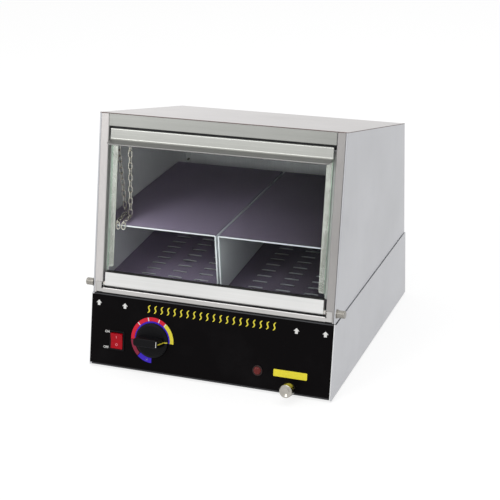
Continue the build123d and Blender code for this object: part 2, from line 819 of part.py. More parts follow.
with BuildPart() as heater_nuts:
    for nut_face_y in (tank_front_y, tank_front_y + sheet + heater_nut_length):
        with BuildSketch(Plane.XZ.offset(-nut_face_y)) as nut_outline:
            with Locations((-heater_lead_half_spacing, heater_z), (heater_lead_half_spacing, heater_z)):
                RegularPolygon(heater_nut_radius, 6)
                Circle(heater_radius + slip_clearance, mode=Mode.SUBTRACT)
        extrude(amount=heater_nut_length)
finish(heater_nuts.part, "heater_nuts")

with BuildPart() as heater_saddles:
    for saddle_x in (-heater_loop_half_width, heater_loop_half_width):
        with BuildSketch(Plane.XZ.offset(-tank_mid_y)) as saddle_outline:
            with Locations((saddle_x, tank_floor_z + sheet)):
                Rectangle(6 * heater_radius, 1.0, align=(Align.CENTER, Align.MIN))
                Rectangle(3 * heater_radius, heater_height - sheet, align=(Align.CENTER, Align.MIN))
            with Locations((saddle_x, heater_z)):
                Circle(heater_radius + slip_clearance, mode=Mode.SUBTRACT)
        extrude(amount=clip_width / 2, both=True)
finish(heater_saddles.part, "heater_saddles")

with BuildPart() as water_sensor:
    with BuildSketch(Plane.XZ.offset(-(tank_front_y + sensor_rod_length))) as sensor_rod:
        with Locations((sensor_x, sensor_z)):
            Circle(sensor_rod_radius)
    extrude(amount=sensor_rod_length + 2 * sensor_bush_radius)
    with BuildSketch(Plane.XZ.offset(-tank_front_y)) as sensor_bush:
        with Locations((sensor_x, sensor_z)):
            RegularPolygon(sensor_bush_radius, 6)
    extrude(amount=sensor_bush_radius)
    with BuildSketch(Plane.XZ.offset(-(tank_front_y + sheet))) as sensor_neck:
        with Locations((sensor_x, sensor_z)):
            Circle(sensor_rod_radius + 2.0 - slip_clearance)
    extrude(amount=sheet)
    with BuildSketch(Plane.XZ.offset(-(tank_front_y + sheet + 4.0))) as sensor_washer:
        with Locations((sensor_x, sensor_z)):
            Circle(sensor_bush_radius)
    extrude(amount=4.0)
finish(water_sensor.part, "water_sensor")

bulb_y = tank_front_y + bulb_from_front
bulb_z = tank_floor_z - bulb_radius - slip_clearance
bulb_start_x = bulb_x - bulb_length / 2
thermostat_rear = at(panel_back - thermostat_depth, dial_s)

with BuildPart() as thermostat_bulb:
    with BuildSketch(side_plane(bulb_start_x)) as bulb_section:
        with Locations((bulb_y, bulb_z)):
            Circle(bulb_radius)
    extrude(amount=bulb_length)
    with BuildLine():
        capillary_path = FilletPolyline(
            (dial_x, thermostat_rear[0], thermostat_rear[1]),
            (dial_x, thermostat_rear[0] + capillary_lead,
             thermostat_rear[1] - capillary_lead * tan(lean)),
            (dial_x, bulb_y, bulb_z),
            (bulb_start_x, bulb_y, bulb_z),
            radius=5.0,
        )
    with BuildSketch(Plane(origin=capillary_path @ 0, z_dir=capillary_path % 0)) as capillary_section:
        Circle(capillary_radius)
    sweep()
finish(thermostat_bulb.part, "thermostat_bulb")

clip_inner = bulb_radius + slip_clearance
clip_outer = clip_inner + sheet

with BuildPart() as bulb_clip:
    with BuildSketch(side_plane(bulb_x)) as clip_outline:
        with Locations((bulb_y, bulb_z)):
            Circle(clip_outer)
            Rectangle(2 * clip_outer, clip_inner, align=(Align.CENTER, Align.MIN))
            Circle(clip_inner, mode=Mode.SUBTRACT)
            Rectangle(2 * clip_inner, clip_inner, align=(Align.CENTER, Align.MIN), mode=Mode.SUBTRACT)
        with Locations((bulb_y, tank_floor_z)):
            Rectangle(4 * clip_outer, 2 * clip_outer, align=(Align.CENTER, Align.MIN), mode=Mode.SUBTRACT)
        with Locations((bulb_y + clip_inner, tank_floor_z)):
            Rectangle(clip_width, sheet, align=(Align.MIN, Align.MAX))
    extrude(amount=clip_width / 2, both=True)
finish(bulb_clip.part, "bulb_clip")

with BuildPart() as terminal_block:
    with BuildSketch(Plane.XY.offset(cover_top)) as block_outline:
        with Locations((gland_x + block_length, back_y - 3 * block_width)):
            RectangleRounded(block_length, block_width, 1.5)
    extrude(amount=block_height)
    with BuildSketch(Plane.XY.offset(cover_top + block_height)) as block_wells:
        with Locations((gland_x + block_length, back_y - 3 * block_width)):
            with GridLocations(block_length / block_screws, 1.0, block_screws, 1):
                Circle(3.2)
    extrude(amount=-6.0, mode=Mode.SUBTRACT)
finish(terminal_block.part, "terminal_block")

with BuildPart() as cord_gland:
    with BuildSketch(Plane.XZ.offset(-back_y)) as gland_dome:
        with Locations((gland_x, foot_height + gland_height)):
            Circle(gland_nut_radius)
    extrude(amount=-gland_reach)
    fillet(cord_gland.faces().sort_by(Axis.Y)[-1].edges(), 4.0)
    with BuildSketch(Plane.XZ.offset(-back_y)) as gland_body:
        with Locations((gland_x, foot_height + gland_height)):
            Circle(gland_body_radius)
    extrude(amount=2 * gland_body_radius)
    with BuildSketch(Plane.XZ.offset(-(back_y - sheet))) as gland_nut:
        with Locations((gland_x, foot_height + gland_height)):
            RegularPolygon(gland_nut_radius, 6)
    extrude(amount=5.0)
    with BuildSketch(Plane.XZ.offset(-(back_y + gland_reach))) as gland_bore:
        with Locations((gland_x, foot_height + gland_height)):
            Circle(gland_bore_radius)
    extrude(amount=gland_reach + 2 * gland_body_radius, mode=Mode.SUBTRACT)
finish(cord_gland.part, "cord_gland")

with BuildPart() as seam_gasket:
    with BuildSketch(Plane.XY.offset(base_top)) as gasket_ring:
        with Locations((0, gasket_front_y)):
            Rectangle(2 * (hood_half - gasket_inset), gasket_back_y - gasket_front_y,
                      align=(Align.CENTER, Align.MIN))
        with Locations((0, gasket_front_y + gasket_width)):
            Rectangle(2 * (hood_half - gasket_inset - gasket_width),
                      gasket_back_y - gasket_front_y - 2 * gasket_width,
                      align=(Align.CENTER, Align.MIN), mode=Mode.SUBTRACT)
    extrude(amount=seam_gap)
finish(seam_gasket.part, "seam_gasket")

# ================================================================ hood shell
pivot = at(-roll_radius, pivot_s)


def hood_side_profile():
    """Side view of the hood under its roof."""
    return [
        hood_front_bottom,
        at(0, roof_under_s),
        at(-roof_under_run, roof_under_s),
        (hood_back_y, hood_bottom),
    ]


with BuildPart() as hood_right_side:
    with BuildSketch(side_plane(hood_half - sheet)) as hood_wall:
        with BuildLine():
            Polyline(*hood_side_profile(), close=True)
        make_face()
    extrude(amount=sheet)
    with BuildSketch(side_plane(hood_half - hem_width)) as front_hem:
        with BuildLine():
            Polyline(
                hood_front_bottom,
                at(0, roof_under_s),
                at(-hem_depth, roof_under_s),
                front_at(-hem_depth, hood_bottom),
                close=True,
            )
        make_face()
    extrude(amount=hem_width)
    hem_edges = hood_right_side.faces().sort_by(Axis.Y)[0].edges().filter_by(
        lambda edge: edge.length > base_height)
    fillet(hem_edges, 0.9)
    with BuildSketch(Plane.XY.offset(hood_bottom)) as hood_foot_flange:
        with Locations((hood_half - sheet, front_at(-2 * jamb_depth, hood_bottom)[0])):
            Rectangle(hood_flange, hood_back_y - sheet - front_at(-2 * jamb_depth, hood_bottom)[0],
                      align=(Align.MAX, Align.MIN))
    extrude(amount=sheet)
    with BuildSketch(side_plane(hood_half - sheet)) as hood_roof_flange:
        with BuildLine():
            Polyline(
                at(-roof_flange_start, roof_under_s),
                at(-(roof_under_run - 2 * sheet), roof_under_s),
                at(-(roof_under_run - 2 * sheet), roof_under_s - sheet),
                at(-roof_flange_start, roof_under_s - sheet),
                close=True,
            )
        make_face()
    extrude(amount=-hood_flange)
    with BuildSketch(Plane.XZ.offset(sheet - hood_back_y)) as hood_back_flange:
        with Locations((hood_half - sheet, hood_bottom + 2 * sheet)):
            Rectangle(hood_flange, hood_back_top - hood_bottom - 5 * sheet, align=(Align.MAX, Align.MIN))
        with Locations(*hood_screw_spots):
            Circle(screw_hole_radius, mode=Mode.SUBTRACT)
    extrude(amount=sheet)
    with BuildSketch(side_plane(hood_half)) as pivot_hole:
        with Locations(pivot):
            Circle(pivot_pin_radius + panel_hole_clearance)
    extrude(amount=-2 * hem_width, mode=Mode.SUBTRACT)
finish(hood_right_side.part, "hood_right_side")

with BuildPart() as hood_left_side:
    mirror(hood_right_side.part, about=Plane.YZ)
finish(hood_left_side.part, "hood_left_side")

with BuildPart() as hood_roof:
    with BuildSketch(side_plane(-hood_half)) as roof_profile:
        with BuildLine():
            Polyline(
                at(0, roof_under_s),
                at(0, front_slope_length),
                at(-roof_run, front_slope_length),
                at(-roof_under_run, roof_under_s),
                close=True,
            )
        make_face()
    extrude(amount=2 * hood_half)
    fillet(hood_roof.edges().filter_by(Axis.X).group_by(Axis.Z)[-1], 0.5)
finish(hood_roof.part, "hood_roof")

with BuildPart() as hood_back:
    with BuildSketch(Plane.XZ.offset(-hood_back_y)) as hood_back_wall:
        with Locations((0, hood_bottom)):
            Rectangle(2 * (hood_half - sheet), hood_back_top - hood_bottom, align=(Align.CENTER, Align.MIN))
        with Locations(*hood_screw_spots):
            Circle(screw_hole_radius, mode=Mode.SUBTRACT)
    extrude(amount=sheet)
    with BuildSketch(Plane.XY.offset(hood_bottom)) as hood_foot_fold:
        with Locations((0, hood_back_y - sheet)):
            Rectangle(2 * (hood_half - sheet - hood_flange - part_gap), hood_flange,
                      align=(Align.CENTER, Align.MAX))
    extrude(amount=sheet)
finish(hood_back.part, "hood_back")

# ================================================================ front frame
post_outer = hood_half - hem_width - part_gap
post_top_s = roof_under_s - part_gap

notch_outer = post_outer - post_strip
glass_front_n = -(sheet + gasket_skin)
glass_back_n = glass_front_n - glass_thickness
gasket_back_n = glass_back_n - gasket_back
clip_back_n = gasket_back_n - sheet
strip_back_n = glass_back_n - strip_thickness

with BuildSketch(side_plane(jamb_x)) as foot_cut:
    with Locations(at(-jamb_depth / 2, hood_bottom_s + jamb_foot_gap)):
        Rectangle(4 * jamb_depth, 2 * jamb_depth, align=(Align.CENTER, Align.MAX))

with BuildPart() as right_post:
    with BuildSketch(slope_plane(hood_bottom_s + part_gap)) as post_section:
        with BuildLine():
            FilletPolyline((post_outer, 0), (jamb_x, 0), (jamb_x, post_return), radius=bend_radius)
            offset(amount=sheet, side=Side.RIGHT)
        make_face()
    extrude(amount=post_top_s - hood_bottom_s - part_gap)
    with BuildSketch(front) as post_notch:
        with Locations((jamb_x, post_seam_s)):
            Rectangle(notch_outer - jamb_x, post_seam_s, align=(Align.MIN, Align.MAX))
    extrude(amount=-(sheet + bend_radius), mode=Mode.SUBTRACT)
    extrude(foot_cut.sketch, amount=sheet + bend_radius, mode=Mode.SUBTRACT)
finish(right_post.part, "right_post")

with BuildPart() as left_post:
    mirror(right_post.part, about=Plane.YZ)
finish(left_post.part, "left_post")

stop_front_n = strip_back_n - stop_clearance
stop_top_s = glass_top_s

with BuildPart() as right_jamb:
    with BuildSketch(slope_plane(hood_bottom_s + part_gap)) as jamb_section:
        with Locations((jamb_x, post_return)):
            Rectangle(sheet, jamb_depth - post_return, align=(Align.MIN, Align.MIN))
    extrude(amount=post_top_s - hood_bottom_s - part_gap)
    with BuildSketch(side_plane(jamb_x)) as jamb_cuts:
        with Locations(pivot):
            Circle(pivot_pin_radius + panel_hole_clearance)
        with Locations(local_point(insert_front - insert_edge_gap, shelf_height + insert_edge_gap)):
            Rectangle(2 * jamb_depth, 2 * jamb_depth, align=(Align.MIN, Align.MAX))
            Rectangle(4 * jamb_depth, part_gap, align=(Align.CENTER, Align.MIN))
    extrude(amount=sheet, mode=Mode.SUBTRACT)
    extrude(foot_cut.sketch, amount=sheet, mode=Mode.SUBTRACT)
    with BuildSketch(front.offset(stop_front_n)) as door_stop:
        with Locations((jamb_x - part_gap, bottom_rail_top_s + part_gap)):
            Rectangle(stop_width, stop_top_s - bottom_rail_top_s - part_gap, align=(Align.MAX, Align.MIN))
    extrude(amount=-sheet)
finish(right_jamb.part, "right_jamb")

with BuildPart() as left_jamb:
    mirror(right_jamb.part, about=Plane.YZ)
finish(left_jamb.part, "left_jamb")

header_half = jamb_x - part_gap
header_stop_n = top_rail_return + part_gap

with BuildPart() as header:
    with BuildSketch(side_plane(-header_half)) as header_section:
        with BuildLine():
            FilletPolyline(
                at(0, post_top_s),
                at(0, header_bottom_s),
                at(-header_stop_n, header_bottom_s),
                at(-header_stop_n, header_bottom_s - header_stop_drop),
                radius=1.2,
            )
            offset(amount=sheet, side=Side.LEFT)
        make_face()
    extrude(amount=2 * header_half)
finish(header.part, "header")

ear_outer = notch_outer - part_gap
ear_bottom_s = hood_bottom_s + bend_radius

with BuildPart() as lower_rail:
    with BuildSketch(side_plane(-header_half)) as rail_section:
        with BuildLine():
            FilletPolyline(
                at(-rail_flange_depth, rail_top_s),
                at(0, rail_top_s),
                hood_front_bottom,
                (hood_front_bottom[0] + base_flange - 2 * sheet, hood_bottom),
                radius=bend_radius,
            )
            offset(amount=sheet, side=Side.LEFT)
        make_face()
    extrude(amount=2 * header_half)
    with BuildSketch(front) as rail_ears:
        with Locations((header_half - 2 * bend_radius, ear_bottom_s)):
            Rectangle(ear_outer - header_half + 2 * bend_radius, rail_top_s - bend_radius - ear_bottom_s,
                      align=(Align.MIN, Align.MIN))
        with Locations((jamb_x + bend_radius, ear_bottom_s)):
            Rectangle(ear_outer - jamb_x - bend_radius, post_seam_s - part_gap - ear_bottom_s,
                      align=(Align.MIN, Align.MIN))
        mirror(about=Plane.YZ)
    extrude(amount=-sheet)
finish(lower_rail.part, "lower_rail")

# ================================================================ floor tray and bun shelves
floor_half = hood_half - sheet - floor_side_gap
floor_front_y, floor_front_z = local_point(floor_front, floor_front_height)
floor_back_y = front_y + floor_back
floor_tilt = radians(floor_slope)


def floor_z(y):
    """Height of the floor tray's top face at y."""
    return floor_front_z + (y - floor_front_y) * tan(floor_tilt)


floor_plane = Plane(origin=(0, floor_front_y, floor_front_z), x_dir=(1, 0, 0),
                    z_dir=(0, -sin(floor_tilt), cos(floor_tilt)))
floor_run = (floor_back_y - floor_front_y) / cos(floor_tilt)
leg_middle = floor_half - floor_leg_inset
leg_front_y = floor_front_y + floor_leg_inset
leg_back_y = floor_back_y - floor_leg_inset

with BuildPart() as floor_tray:
    with BuildSketch(floor_plane) as floor_sheet:
        Rectangle(2 * floor_half, floor_run, align=(Align.CENTER, Align.MIN))
        for column_side in (-1, 1):
            with Locations((column_side * slot_pitch_x * (slot_columns + 1) / 2, floor_run / 2)):
                with GridLocations(slot_pitch_x, slot_pitch_y, slot_columns, slot_rows):
                    SlotOverall(slot_length, slot_width, mode=Mode.SUBTRACT)
    extrude(amount=-sheet)
    for leg_side in (-1, 1):
        with BuildSketch(side_plane(leg_side * leg_middle)) as floor_leg:
            with BuildLine():
                Polyline(
                    (leg_front_y, rim_top),
                    (leg_front_y, floor_z(leg_front_y) - sheet / 2),
                    (leg_back_y, floor_z(leg_back_y) - sheet / 2),
                    (leg_back_y, rim_top),
                    close=True,
                )
            make_face()
        extrude(amount=sheet / 2, both=True)
finish(floor_tray.part, "floor_tray")

insert_outer = hood_half - sheet - insert_side_gap
insert_inner = insert_gap / 2
insert_front_y = front_y + insert_front
insert_back_y = front_y + insert_back
insert_length = insert_back - insert_front


with BuildPart() as right_insert:
    for fold, fold_length in ((sheet, insert_length), (insert_hem, insert_hem_depth)):
        with BuildSketch(Plane.XZ.offset(-(insert_front_y + fold_length))) as insert_fold:
            with BuildLine():
                FilletPolyline(
                    (insert_inner, floor_front_z),
                    (insert_inner, shelf_top),
                    (insert_outer, shelf_top),
                    (insert_outer, floor_front_z),
                    radius=insert_edge_radius,
                )
                offset(amount=fold, side=Side.RIGHT)
            make_face()
        extrude(amount=fold_length)
    with BuildSketch(side_plane(insert_inner)) as insert_foot:
        with BuildLine():
            Polyline(
                (insert_front_y, floor_z(insert_front_y)),
                (insert_back_y, floor_z(insert_back_y)),
                (insert_back_y, floor_front_z),
                (insert_front_y, floor_front_z),
                close=True,
            )
        make_face()
    extrude(amount=insert_outer - insert_inner, mode=Mode.SUBTRACT)
finish(right_insert.part, "right_insert")

with BuildPart() as left_insert:
    mirror(right_insert.part, about=Plane.YZ)
finish(left_insert.part, "left_insert")

# ================================================================ door
roll_depth = 2 * roll_radius + roll_flat
roll_bottom_s = pivot_s - roll_radius

with BuildPart() as door_bottom_rail:
    with BuildSketch(side_plane(-door_half_width)) as bottom_rail_section:
        with BuildLine():
            FilletPolyline(
                at(0, bottom_rail_top_s),
                at(0, roll_bottom_s),
                at(-roll_depth, roll_bottom_s),
                at(-roll_depth, pivot_s + channel_rise),
                at(clip_back_n, glass_bottom_s),
                at(clip_back_n, bottom_rail_top_s - channel_step),
                radius=[roll_radius, roll_radius, bend_radius, bend_radius],
            )
            offset(amount=sheet, side=Side.LEFT)
        make_face()
    extrude(amount=2 * door_half_width)
finish(door_bottom_rail.part, "door_bottom_rail")

lip_tip = at(lip_reach, top_rail_bottom_s - lip_drop)

with BuildPart() as door_top_rail:
    with BuildSketch(side_plane(-door_half_width)) as top_rail_section:
        with BuildLine():
            FilletPolyline(
                lip_tip,
                at(0, top_rail_bottom_s),
                at(0, top_rail_top_s),
                at(-top_rail_return, top_rail_top_s),
                radius=bend_radius,
            )
            offset(amount=sheet, side=Side.RIGHT)
        make_face()
        with Locations(lip_tip):
            Circle(lip_bead_radius)
    extrude(amount=2 * door_half_width)
    with BuildSketch(slope_plane(top_rail_bottom_s - 2 * lip_drop)) as lip_ends:
        with BuildLine():
            Polyline(
                (door_half_width, lip_corner - lip_reach),
                (door_half_width - lip_corner, -lip_reach),
                (door_half_width - lip_corner, -2 * lip_reach),
                (door_half_width + lip_corner, -2 * lip_reach),
                (door_half_width + lip_corner, lip_corner - lip_reach),
                close=True,
            )
        make_face()
        mirror(about=Plane.YZ)
    extrude(amount=3 * lip_drop, mode=Mode.SUBTRACT)
finish(door_top_rail.part, "door_top_rail")

with BuildPart() as door_glass:
    with BuildSketch(front.offset(glass_back_n)) as glass_pane:
        with Locations((0, glass_bottom_s)):
            Rectangle(2 * glass_half_width, glass_top_s - glass_bottom_s, align=(Align.CENTER, Align.MIN))
    extrude(amount=glass_thickness)
    chamfer(door_glass.edges(), glass_edge)
finish(door_glass.part, "door_glass")


def seal_outline(edge_s, lip_s):
    """Side view of the channel seal round a glass edge at edge_s, reaching to lip_s."""
    outer_s = edge_s + (gasket_back if edge_s > lip_s else -gasket_back)
    return [
        at(-sheet, outer_s),
        at(-sheet, lip_s),
        at(glass_front_n, lip_s),
        at(glass_front_n, edge_s),
        at(glass_back_n, edge_s),
        at(glass_back_n, lip_s),
        at(gasket_back_n, lip_s),
        at(gasket_back_n, outer_s),
    ]


with BuildPart() as glass_seals:
    with BuildSketch(side_plane(-glass_half_width)) as bottom_seal:
        with BuildLine():
            Polyline(*seal_outline(glass_bottom_s, bottom_rail_top_s + gasket_show), close=True)
        make_face()
    extrude(amount=2 * glass_half_width)
    with BuildSketch(side_plane(-clip_half_width)) as top_seal:
        with BuildLine():
            Polyline(*seal_outline(glass_top_s, clip_bottom_s), close=True)
        make_face()
    extrude(amount=2 * clip_half_width)
finish(glass_seals.part, "glass_seals")

clip_top_s = glass_top_s + gasket_back + sheet

with BuildPart() as glass_clip:
    with BuildSketch(side_plane(-clip_half_width)) as clip_section:
        with BuildLine():
            Polyline(
                at(-sheet, clip_top_s),
                at(clip_back_n, clip_top_s),
                at(clip_back_n, clip_bottom_s),
                at(gasket_back_n, clip_bottom_s),
                at(gasket_back_n, clip_top_s - sheet),
                at(-sheet, clip_top_s - sheet),
                close=True,
            )
        make_face()
    extrude(amount=2 * clip_half_width)
finish(glass_clip.part, "glass_clip")

with BuildPart() as edge_strips:
    with BuildSketch(front.offset(glass_back_n)) as strip_shapes:
        for strip_side in (-1, 1):
            with Locations((strip_side * (strip_outer_x - strip_width / 2), strip_bottom_s)):
                Rectangle(strip_width, clip_bottom_s - part_gap - strip_bottom_s,
                          align=(Align.CENTER, Align.MIN))
        fillet(strip_shapes.vertices().sort_by(Axis.Y)[:4].sort_by(Axis.X)[1:3], strip_end_radius)
    extrude(amount=-strip_thickness)
finish(edge_strips.part, "edge_strips")

bush_radius = roll_radius - sheet - slip_clearance
bush_flange_gap = 2 * part_gap

with BuildPart() as hinge_bushes:
    for bush_side in (-1, 1):
        bush_plane = Plane(origin=(bush_side * door_half_width, *pivot), x_dir=(0, 1, 0),
                           z_dir=(bush_side, 0, 0))
        with BuildSketch(bush_plane) as bush_body:
            Circle(bush_radius)
        extrude(amount=-bush_length)
        with BuildSketch(bush_plane) as bush_flange:
            Circle(bush_radius)
        extrude(amount=jamb_x - door_half_width - bush_flange_gap)
        with BuildSketch(bush_plane.offset(jamb_x - door_half_width)) as bush_bore:
            Circle(pivot_pin_radius + running_clearance)
        extrude(amount=-(jamb_x - door_half_width + bush_length - sheet), mode=Mode.SUBTRACT)
finish(hinge_bushes.part, "hinge_bushes")

with BuildPart() as pivot_screws:
    for screw_side in (-1, 1):
        screw_plane = Plane(origin=(screw_side * hood_half, *pivot), x_dir=(0, 1, 0),
                            z_dir=(screw_side, 0, 0))
        with BuildSketch(screw_plane) as pivot_shank:
            Circle(pivot_pin_radius)
        extrude(amount=-(hood_half - door_half_width + bush_length - 2 * sheet))
        with BuildSketch(screw_plane) as pivot_washer:
            Circle(thumb_washer_radius)
        extrude(amount=thumb_washer_thickness)
        with BuildSketch(screw_plane.offset(thumb_washer_thickness)) as pivot_thumb:
            Circle(thumb_radius)
            with PolarLocations(thumb_radius + thumb_ridge_radius / 2, thumb_ridges):
                Circle(thumb_ridge_radius, mode=Mode.SUBTRACT)
        extrude(amount=thumb_length)
        thumb_face = pivot_screws.faces().sort_by(Axis.X)[-1 if screw_side > 0 else 0]
        chamfer(thumb_face.edges(), thumb_ridge_radius)
finish(pivot_screws.part, "pivot_screws")

# ================================================================ door chain
wire_diameter = 2 * wire_radius
link_centres = link_length - wire_diameter
link_hook = wire_diameter + link_play
link_pitch = link_centres - link_hook
link_bend = link_width / 2 - wire_radius
chain_z = shelf_top + chain_rise
hanging_room = front_slope_length - shelf_height / cos(lean) - chain_top_margin
link_pairs = floor(hanging_room / (2 * link_pitch))
hood_links = 2 * link_pairs + 1
door_links = 2 * link_pairs
hood_pin_x = hood_pin_inset - jamb_x
door_staple_x = door_staple_inset - jamb_x
hood_knee_x = hood_knee_inset - jamb_x
door_knee_x = door_knee_inset - jamb_x
hood_tail_x = hood_tail_inset - jamb_x
door_tail_x = door_tail_inset - jamb_x
hood_tip_x = hood_tip_inset - jamb_x
door_tip_x = door_tip_inset - jamb_x
tail_y = insert_front - tail_insert_gap


def run_length(count, hooked_start, hooked_end):
    """Length between the pivots of a run of links, each end hooked or held by its wire."""
    return link_pitch * count + (0 if hooked_start else link_hook) - (0 if hooked_end else link_hook)


def reach_along(level, start, distance):
    """Point of a run lying at one height, from start towards level[0] across, distance forward."""
    return Vector(level, start.Y + sqrt(distance ** 2 - (level - start.X) ** 2), start.Z)


def eye_above(x, n, knee, distance):
    """Point at x and n on the front frame, above the knee by the length of the hanging run."""
    base_y, base_z = at(n, 0)
    across = x - knee.X
    along = (base_y - knee.Y) * sin(lean) + (base_z - knee.Z) * cos(lean)
    square = across ** 2 + (base_y - knee.Y) ** 2 + (base_z - knee.Z) ** 2 - distance ** 2
    s = -along + sqrt(along ** 2 - square)
    return Vector(x, *at(n, s))


hood_tail = Vector(hood_tail_x, front_y + tail_y, chain_z)
door_tail = Vector(door_tail_x, front_y + tail_y, chain_z)
hood_knee = reach_along(hood_knee_x, hood_tail, run_length(hood_shelf_links, False, False))
door_knee = reach_along(door_knee_x, door_tail, run_length(door_shelf_links, True, False))
hood_eye = eye_above(hood_pin_x, -hood_pin_depth, hood_knee, run_length(hood_links, True, False))
door_eye = eye_above(door_staple_x, -door_staple_depth, door_knee, run_length(door_links, True, True))
tail_drop = sqrt(link_centres ** 2 - tail_forward ** 2 - (hood_tip_x - hood_tail_x) ** 2)
hood_tip = Vector(hood_tip_x, front_y + tail_y - tail_forward, chain_z - tail_drop)
door_tip = Vector(door_tip_x, front_y + tail_y - tail_forward, chain_z - tail_drop)

with BuildPart() as chain_link:
    with BuildLine():
        link_side = Line((link_bend - link_centres / 2, link_bend), (link_centres / 2 - link_bend, link_bend))
        link_turn = TangentArc(link_side @ 1, (link_centres / 2 - link_bend, -link_bend),
                               tangent=link_side % 1)
        link_other = Line(link_turn @ 1, (link_bend - link_centres / 2, -link_bend))
        TangentArc(link_other @ 1, link_side @ 0, tangent=link_other % 1)
    with BuildSketch(Plane(origin=link_side @ 0, z_dir=link_side % 0)) as link_section:
        Circle(wire_radius)
    sweep()


def chain_run(name, start, end, count, hooked_start):
    """One straight run of chain links from its pivot at start towards end, written as a node."""
    along = (end - start).normalized()
    across = (Vector(1, 0, 0) - along * along.X).normalized()
    flat = not hooked_start
    first = link_centres / 2 - (link_hook if hooked_start else 0)
    with BuildPart() as run:
        for index in range(count):
            centre = start + along * (first + link_pitch * index)
            normal = along.cross(across) if flat else across
            with Locations(Plane(origin=centre, x_dir=along, z_dir=normal)):
                add(chain_link.part)
            flat = not flat
    finish(run.part, name)
    return run.part


chain_hood_upper = chain_run("chain_hood_upper", hood_eye, hood_knee, hood_links, True)
chain_hood_lower = chain_run("chain_hood_lower", hood_knee, hood_tail, hood_shelf_links, False)
chain_hood_tail = chain_run("chain_hood_tail", hood_tail, hood_tip, 1, False)
chain_door_upper = chain_run("chain_door_upper", door_eye, door_knee, door_links, True)
chain_door_lower = chain_run("chain_door_lower", door_knee, door_tail, door_shelf_links, True)
chain_door_tail = chain_run("chain_door_tail", door_tail, door_tip, 1, False)

with BuildPart() as chain_pin:
    with BuildSketch(side_plane(hood_pin_x - pin_shoulder)) as pin_thick:
        with Locations((hood_eye.Y, hood_eye.Z)):
            Circle(pin_shoulder)
    extrude(amount=-(jamb_x - sheet + hood_pin_x - pin_shoulder + sheet))
    with BuildSketch(side_plane(hood_pin_x - pin_shoulder)) as pin_thin:
        with Locations((hood_eye.Y, hood_eye.Z)):
            Circle(wire_radius)
    extrude(amount=2 * pin_shoulder)
    with BuildSketch(side_plane(hood_pin_x + pin_shoulder)) as pin_head:
        with Locations((hood_eye.Y, hood_eye.Z)):
            Circle(pin_head_radius)
    extrude(amount=pin_head_length)
finish(chain_pin.part, "chain_pin")

staple_foot = at(clip_back_n, staple_foot_s)
staple_knee = at(-door_staple_depth, staple_foot_s)

with BuildPart() as chain_staple:
    with BuildLine():
        staple_path = FilletPolyline(
            (door_eye.X - staple_half_width, *staple_foot),
            (door_eye.X - staple_half_width, *staple_knee),
            (door_eye.X - staple_half_width, door_eye.Y, door_eye.Z),
            (door_eye.X + staple_half_width, door_eye.Y, door_eye.Z),
            (door_eye.X + staple_half_width, *staple_knee),
            (door_eye.X + staple_half_width, *staple_foot),
            radius=staple_bend,
        )
    with BuildSketch(Plane(origin=staple_path @ 0, z_dir=staple_path % 0)) as staple_section:
        Circle(wire_radius)
    sweep()
finish(chain_staple.part, "chain_staple")

# ================================================================ fasteners


def screw_group(name, base_plane, spots):
    """Slotted pan-head screws, heads standing on base_plane at the spots, written as a node."""
    with BuildPart() as screws:
        with BuildSketch(base_plane) as heads:
            with Locations(*spots):
                Circle(screw_head_radius)
        extrude(amount=screw_head_height)
        with BuildSketch(base_plane.offset(screw_head_height)) as slots:
            with Locations(*spots):
                Rectangle(2 * screw_head_radius, screw_slot_width)
        extrude(amount=-screw_slot_depth, mode=Mode.SUBTRACT)
        with BuildSketch(base_plane) as shanks:
            with Locations(*spots):
                Circle(screw_radius)
        extrude(amount=-screw_length)
    finish(screws.part, name)


hood_back_plane = Plane(origin=(0, hood_back_y, 0), x_dir=(-1, 0, 0), z_dir=(0, 1, 0))
base_back_plane = Plane(origin=(0, back_y, 0), x_dir=(-1, 0, 0), z_dir=(0, 1, 0))
base_under_plane = Plane(origin=(0, 0, foot_height), x_dir=(-1, 0, 0), z_dir=(0, 0, -1))
screw_group("hood_screws", hood_back_plane, hood_screw_spots)
screw_group("base_screws", base_back_plane, base_screw_spots)
screw_group("cover_screws", base_under_plane, cover_screw_spots)
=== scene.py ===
"""Finishes, printed marks, light and camera for a counter-top hot dog steamer.

The steamer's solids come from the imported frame. Each class below looks after one
sub-assembly: it gives every solid its finish and adds the thin pieces that the
solids leave out, such as the printed scale around the thermostat dial.
"""

from __future__ import annotations

import logging
import math
from abc import ABC, abstractmethod
from collections.abc import Callable, Sequence
from dataclasses import dataclass, field
from enum import Enum
from functools import cache

import bpy  # noqa: E402
import numpy as np  # noqa: E402
from mathutils import Matrix, Vector  # noqa: E402
from mathutils.bvhtree import BVHTree  # noqa: E402


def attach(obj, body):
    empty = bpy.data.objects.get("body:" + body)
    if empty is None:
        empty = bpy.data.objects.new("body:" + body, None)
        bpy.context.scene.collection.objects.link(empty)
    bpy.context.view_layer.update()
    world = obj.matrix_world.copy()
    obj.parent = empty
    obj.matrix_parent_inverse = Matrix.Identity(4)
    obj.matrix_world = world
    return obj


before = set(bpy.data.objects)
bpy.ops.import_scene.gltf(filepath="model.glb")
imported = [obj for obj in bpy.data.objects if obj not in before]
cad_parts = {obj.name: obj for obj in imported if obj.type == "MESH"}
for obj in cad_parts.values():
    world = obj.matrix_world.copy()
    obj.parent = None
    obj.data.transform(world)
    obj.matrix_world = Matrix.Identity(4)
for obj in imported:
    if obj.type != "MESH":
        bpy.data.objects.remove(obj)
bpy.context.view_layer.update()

log = logging.getLogger("steamer")

MM = 0.001
Colour = tuple[float, float, float]
Node = bpy.types.Node
Socket = bpy.types.NodeSocket
Tree = bpy.types.NodeTree


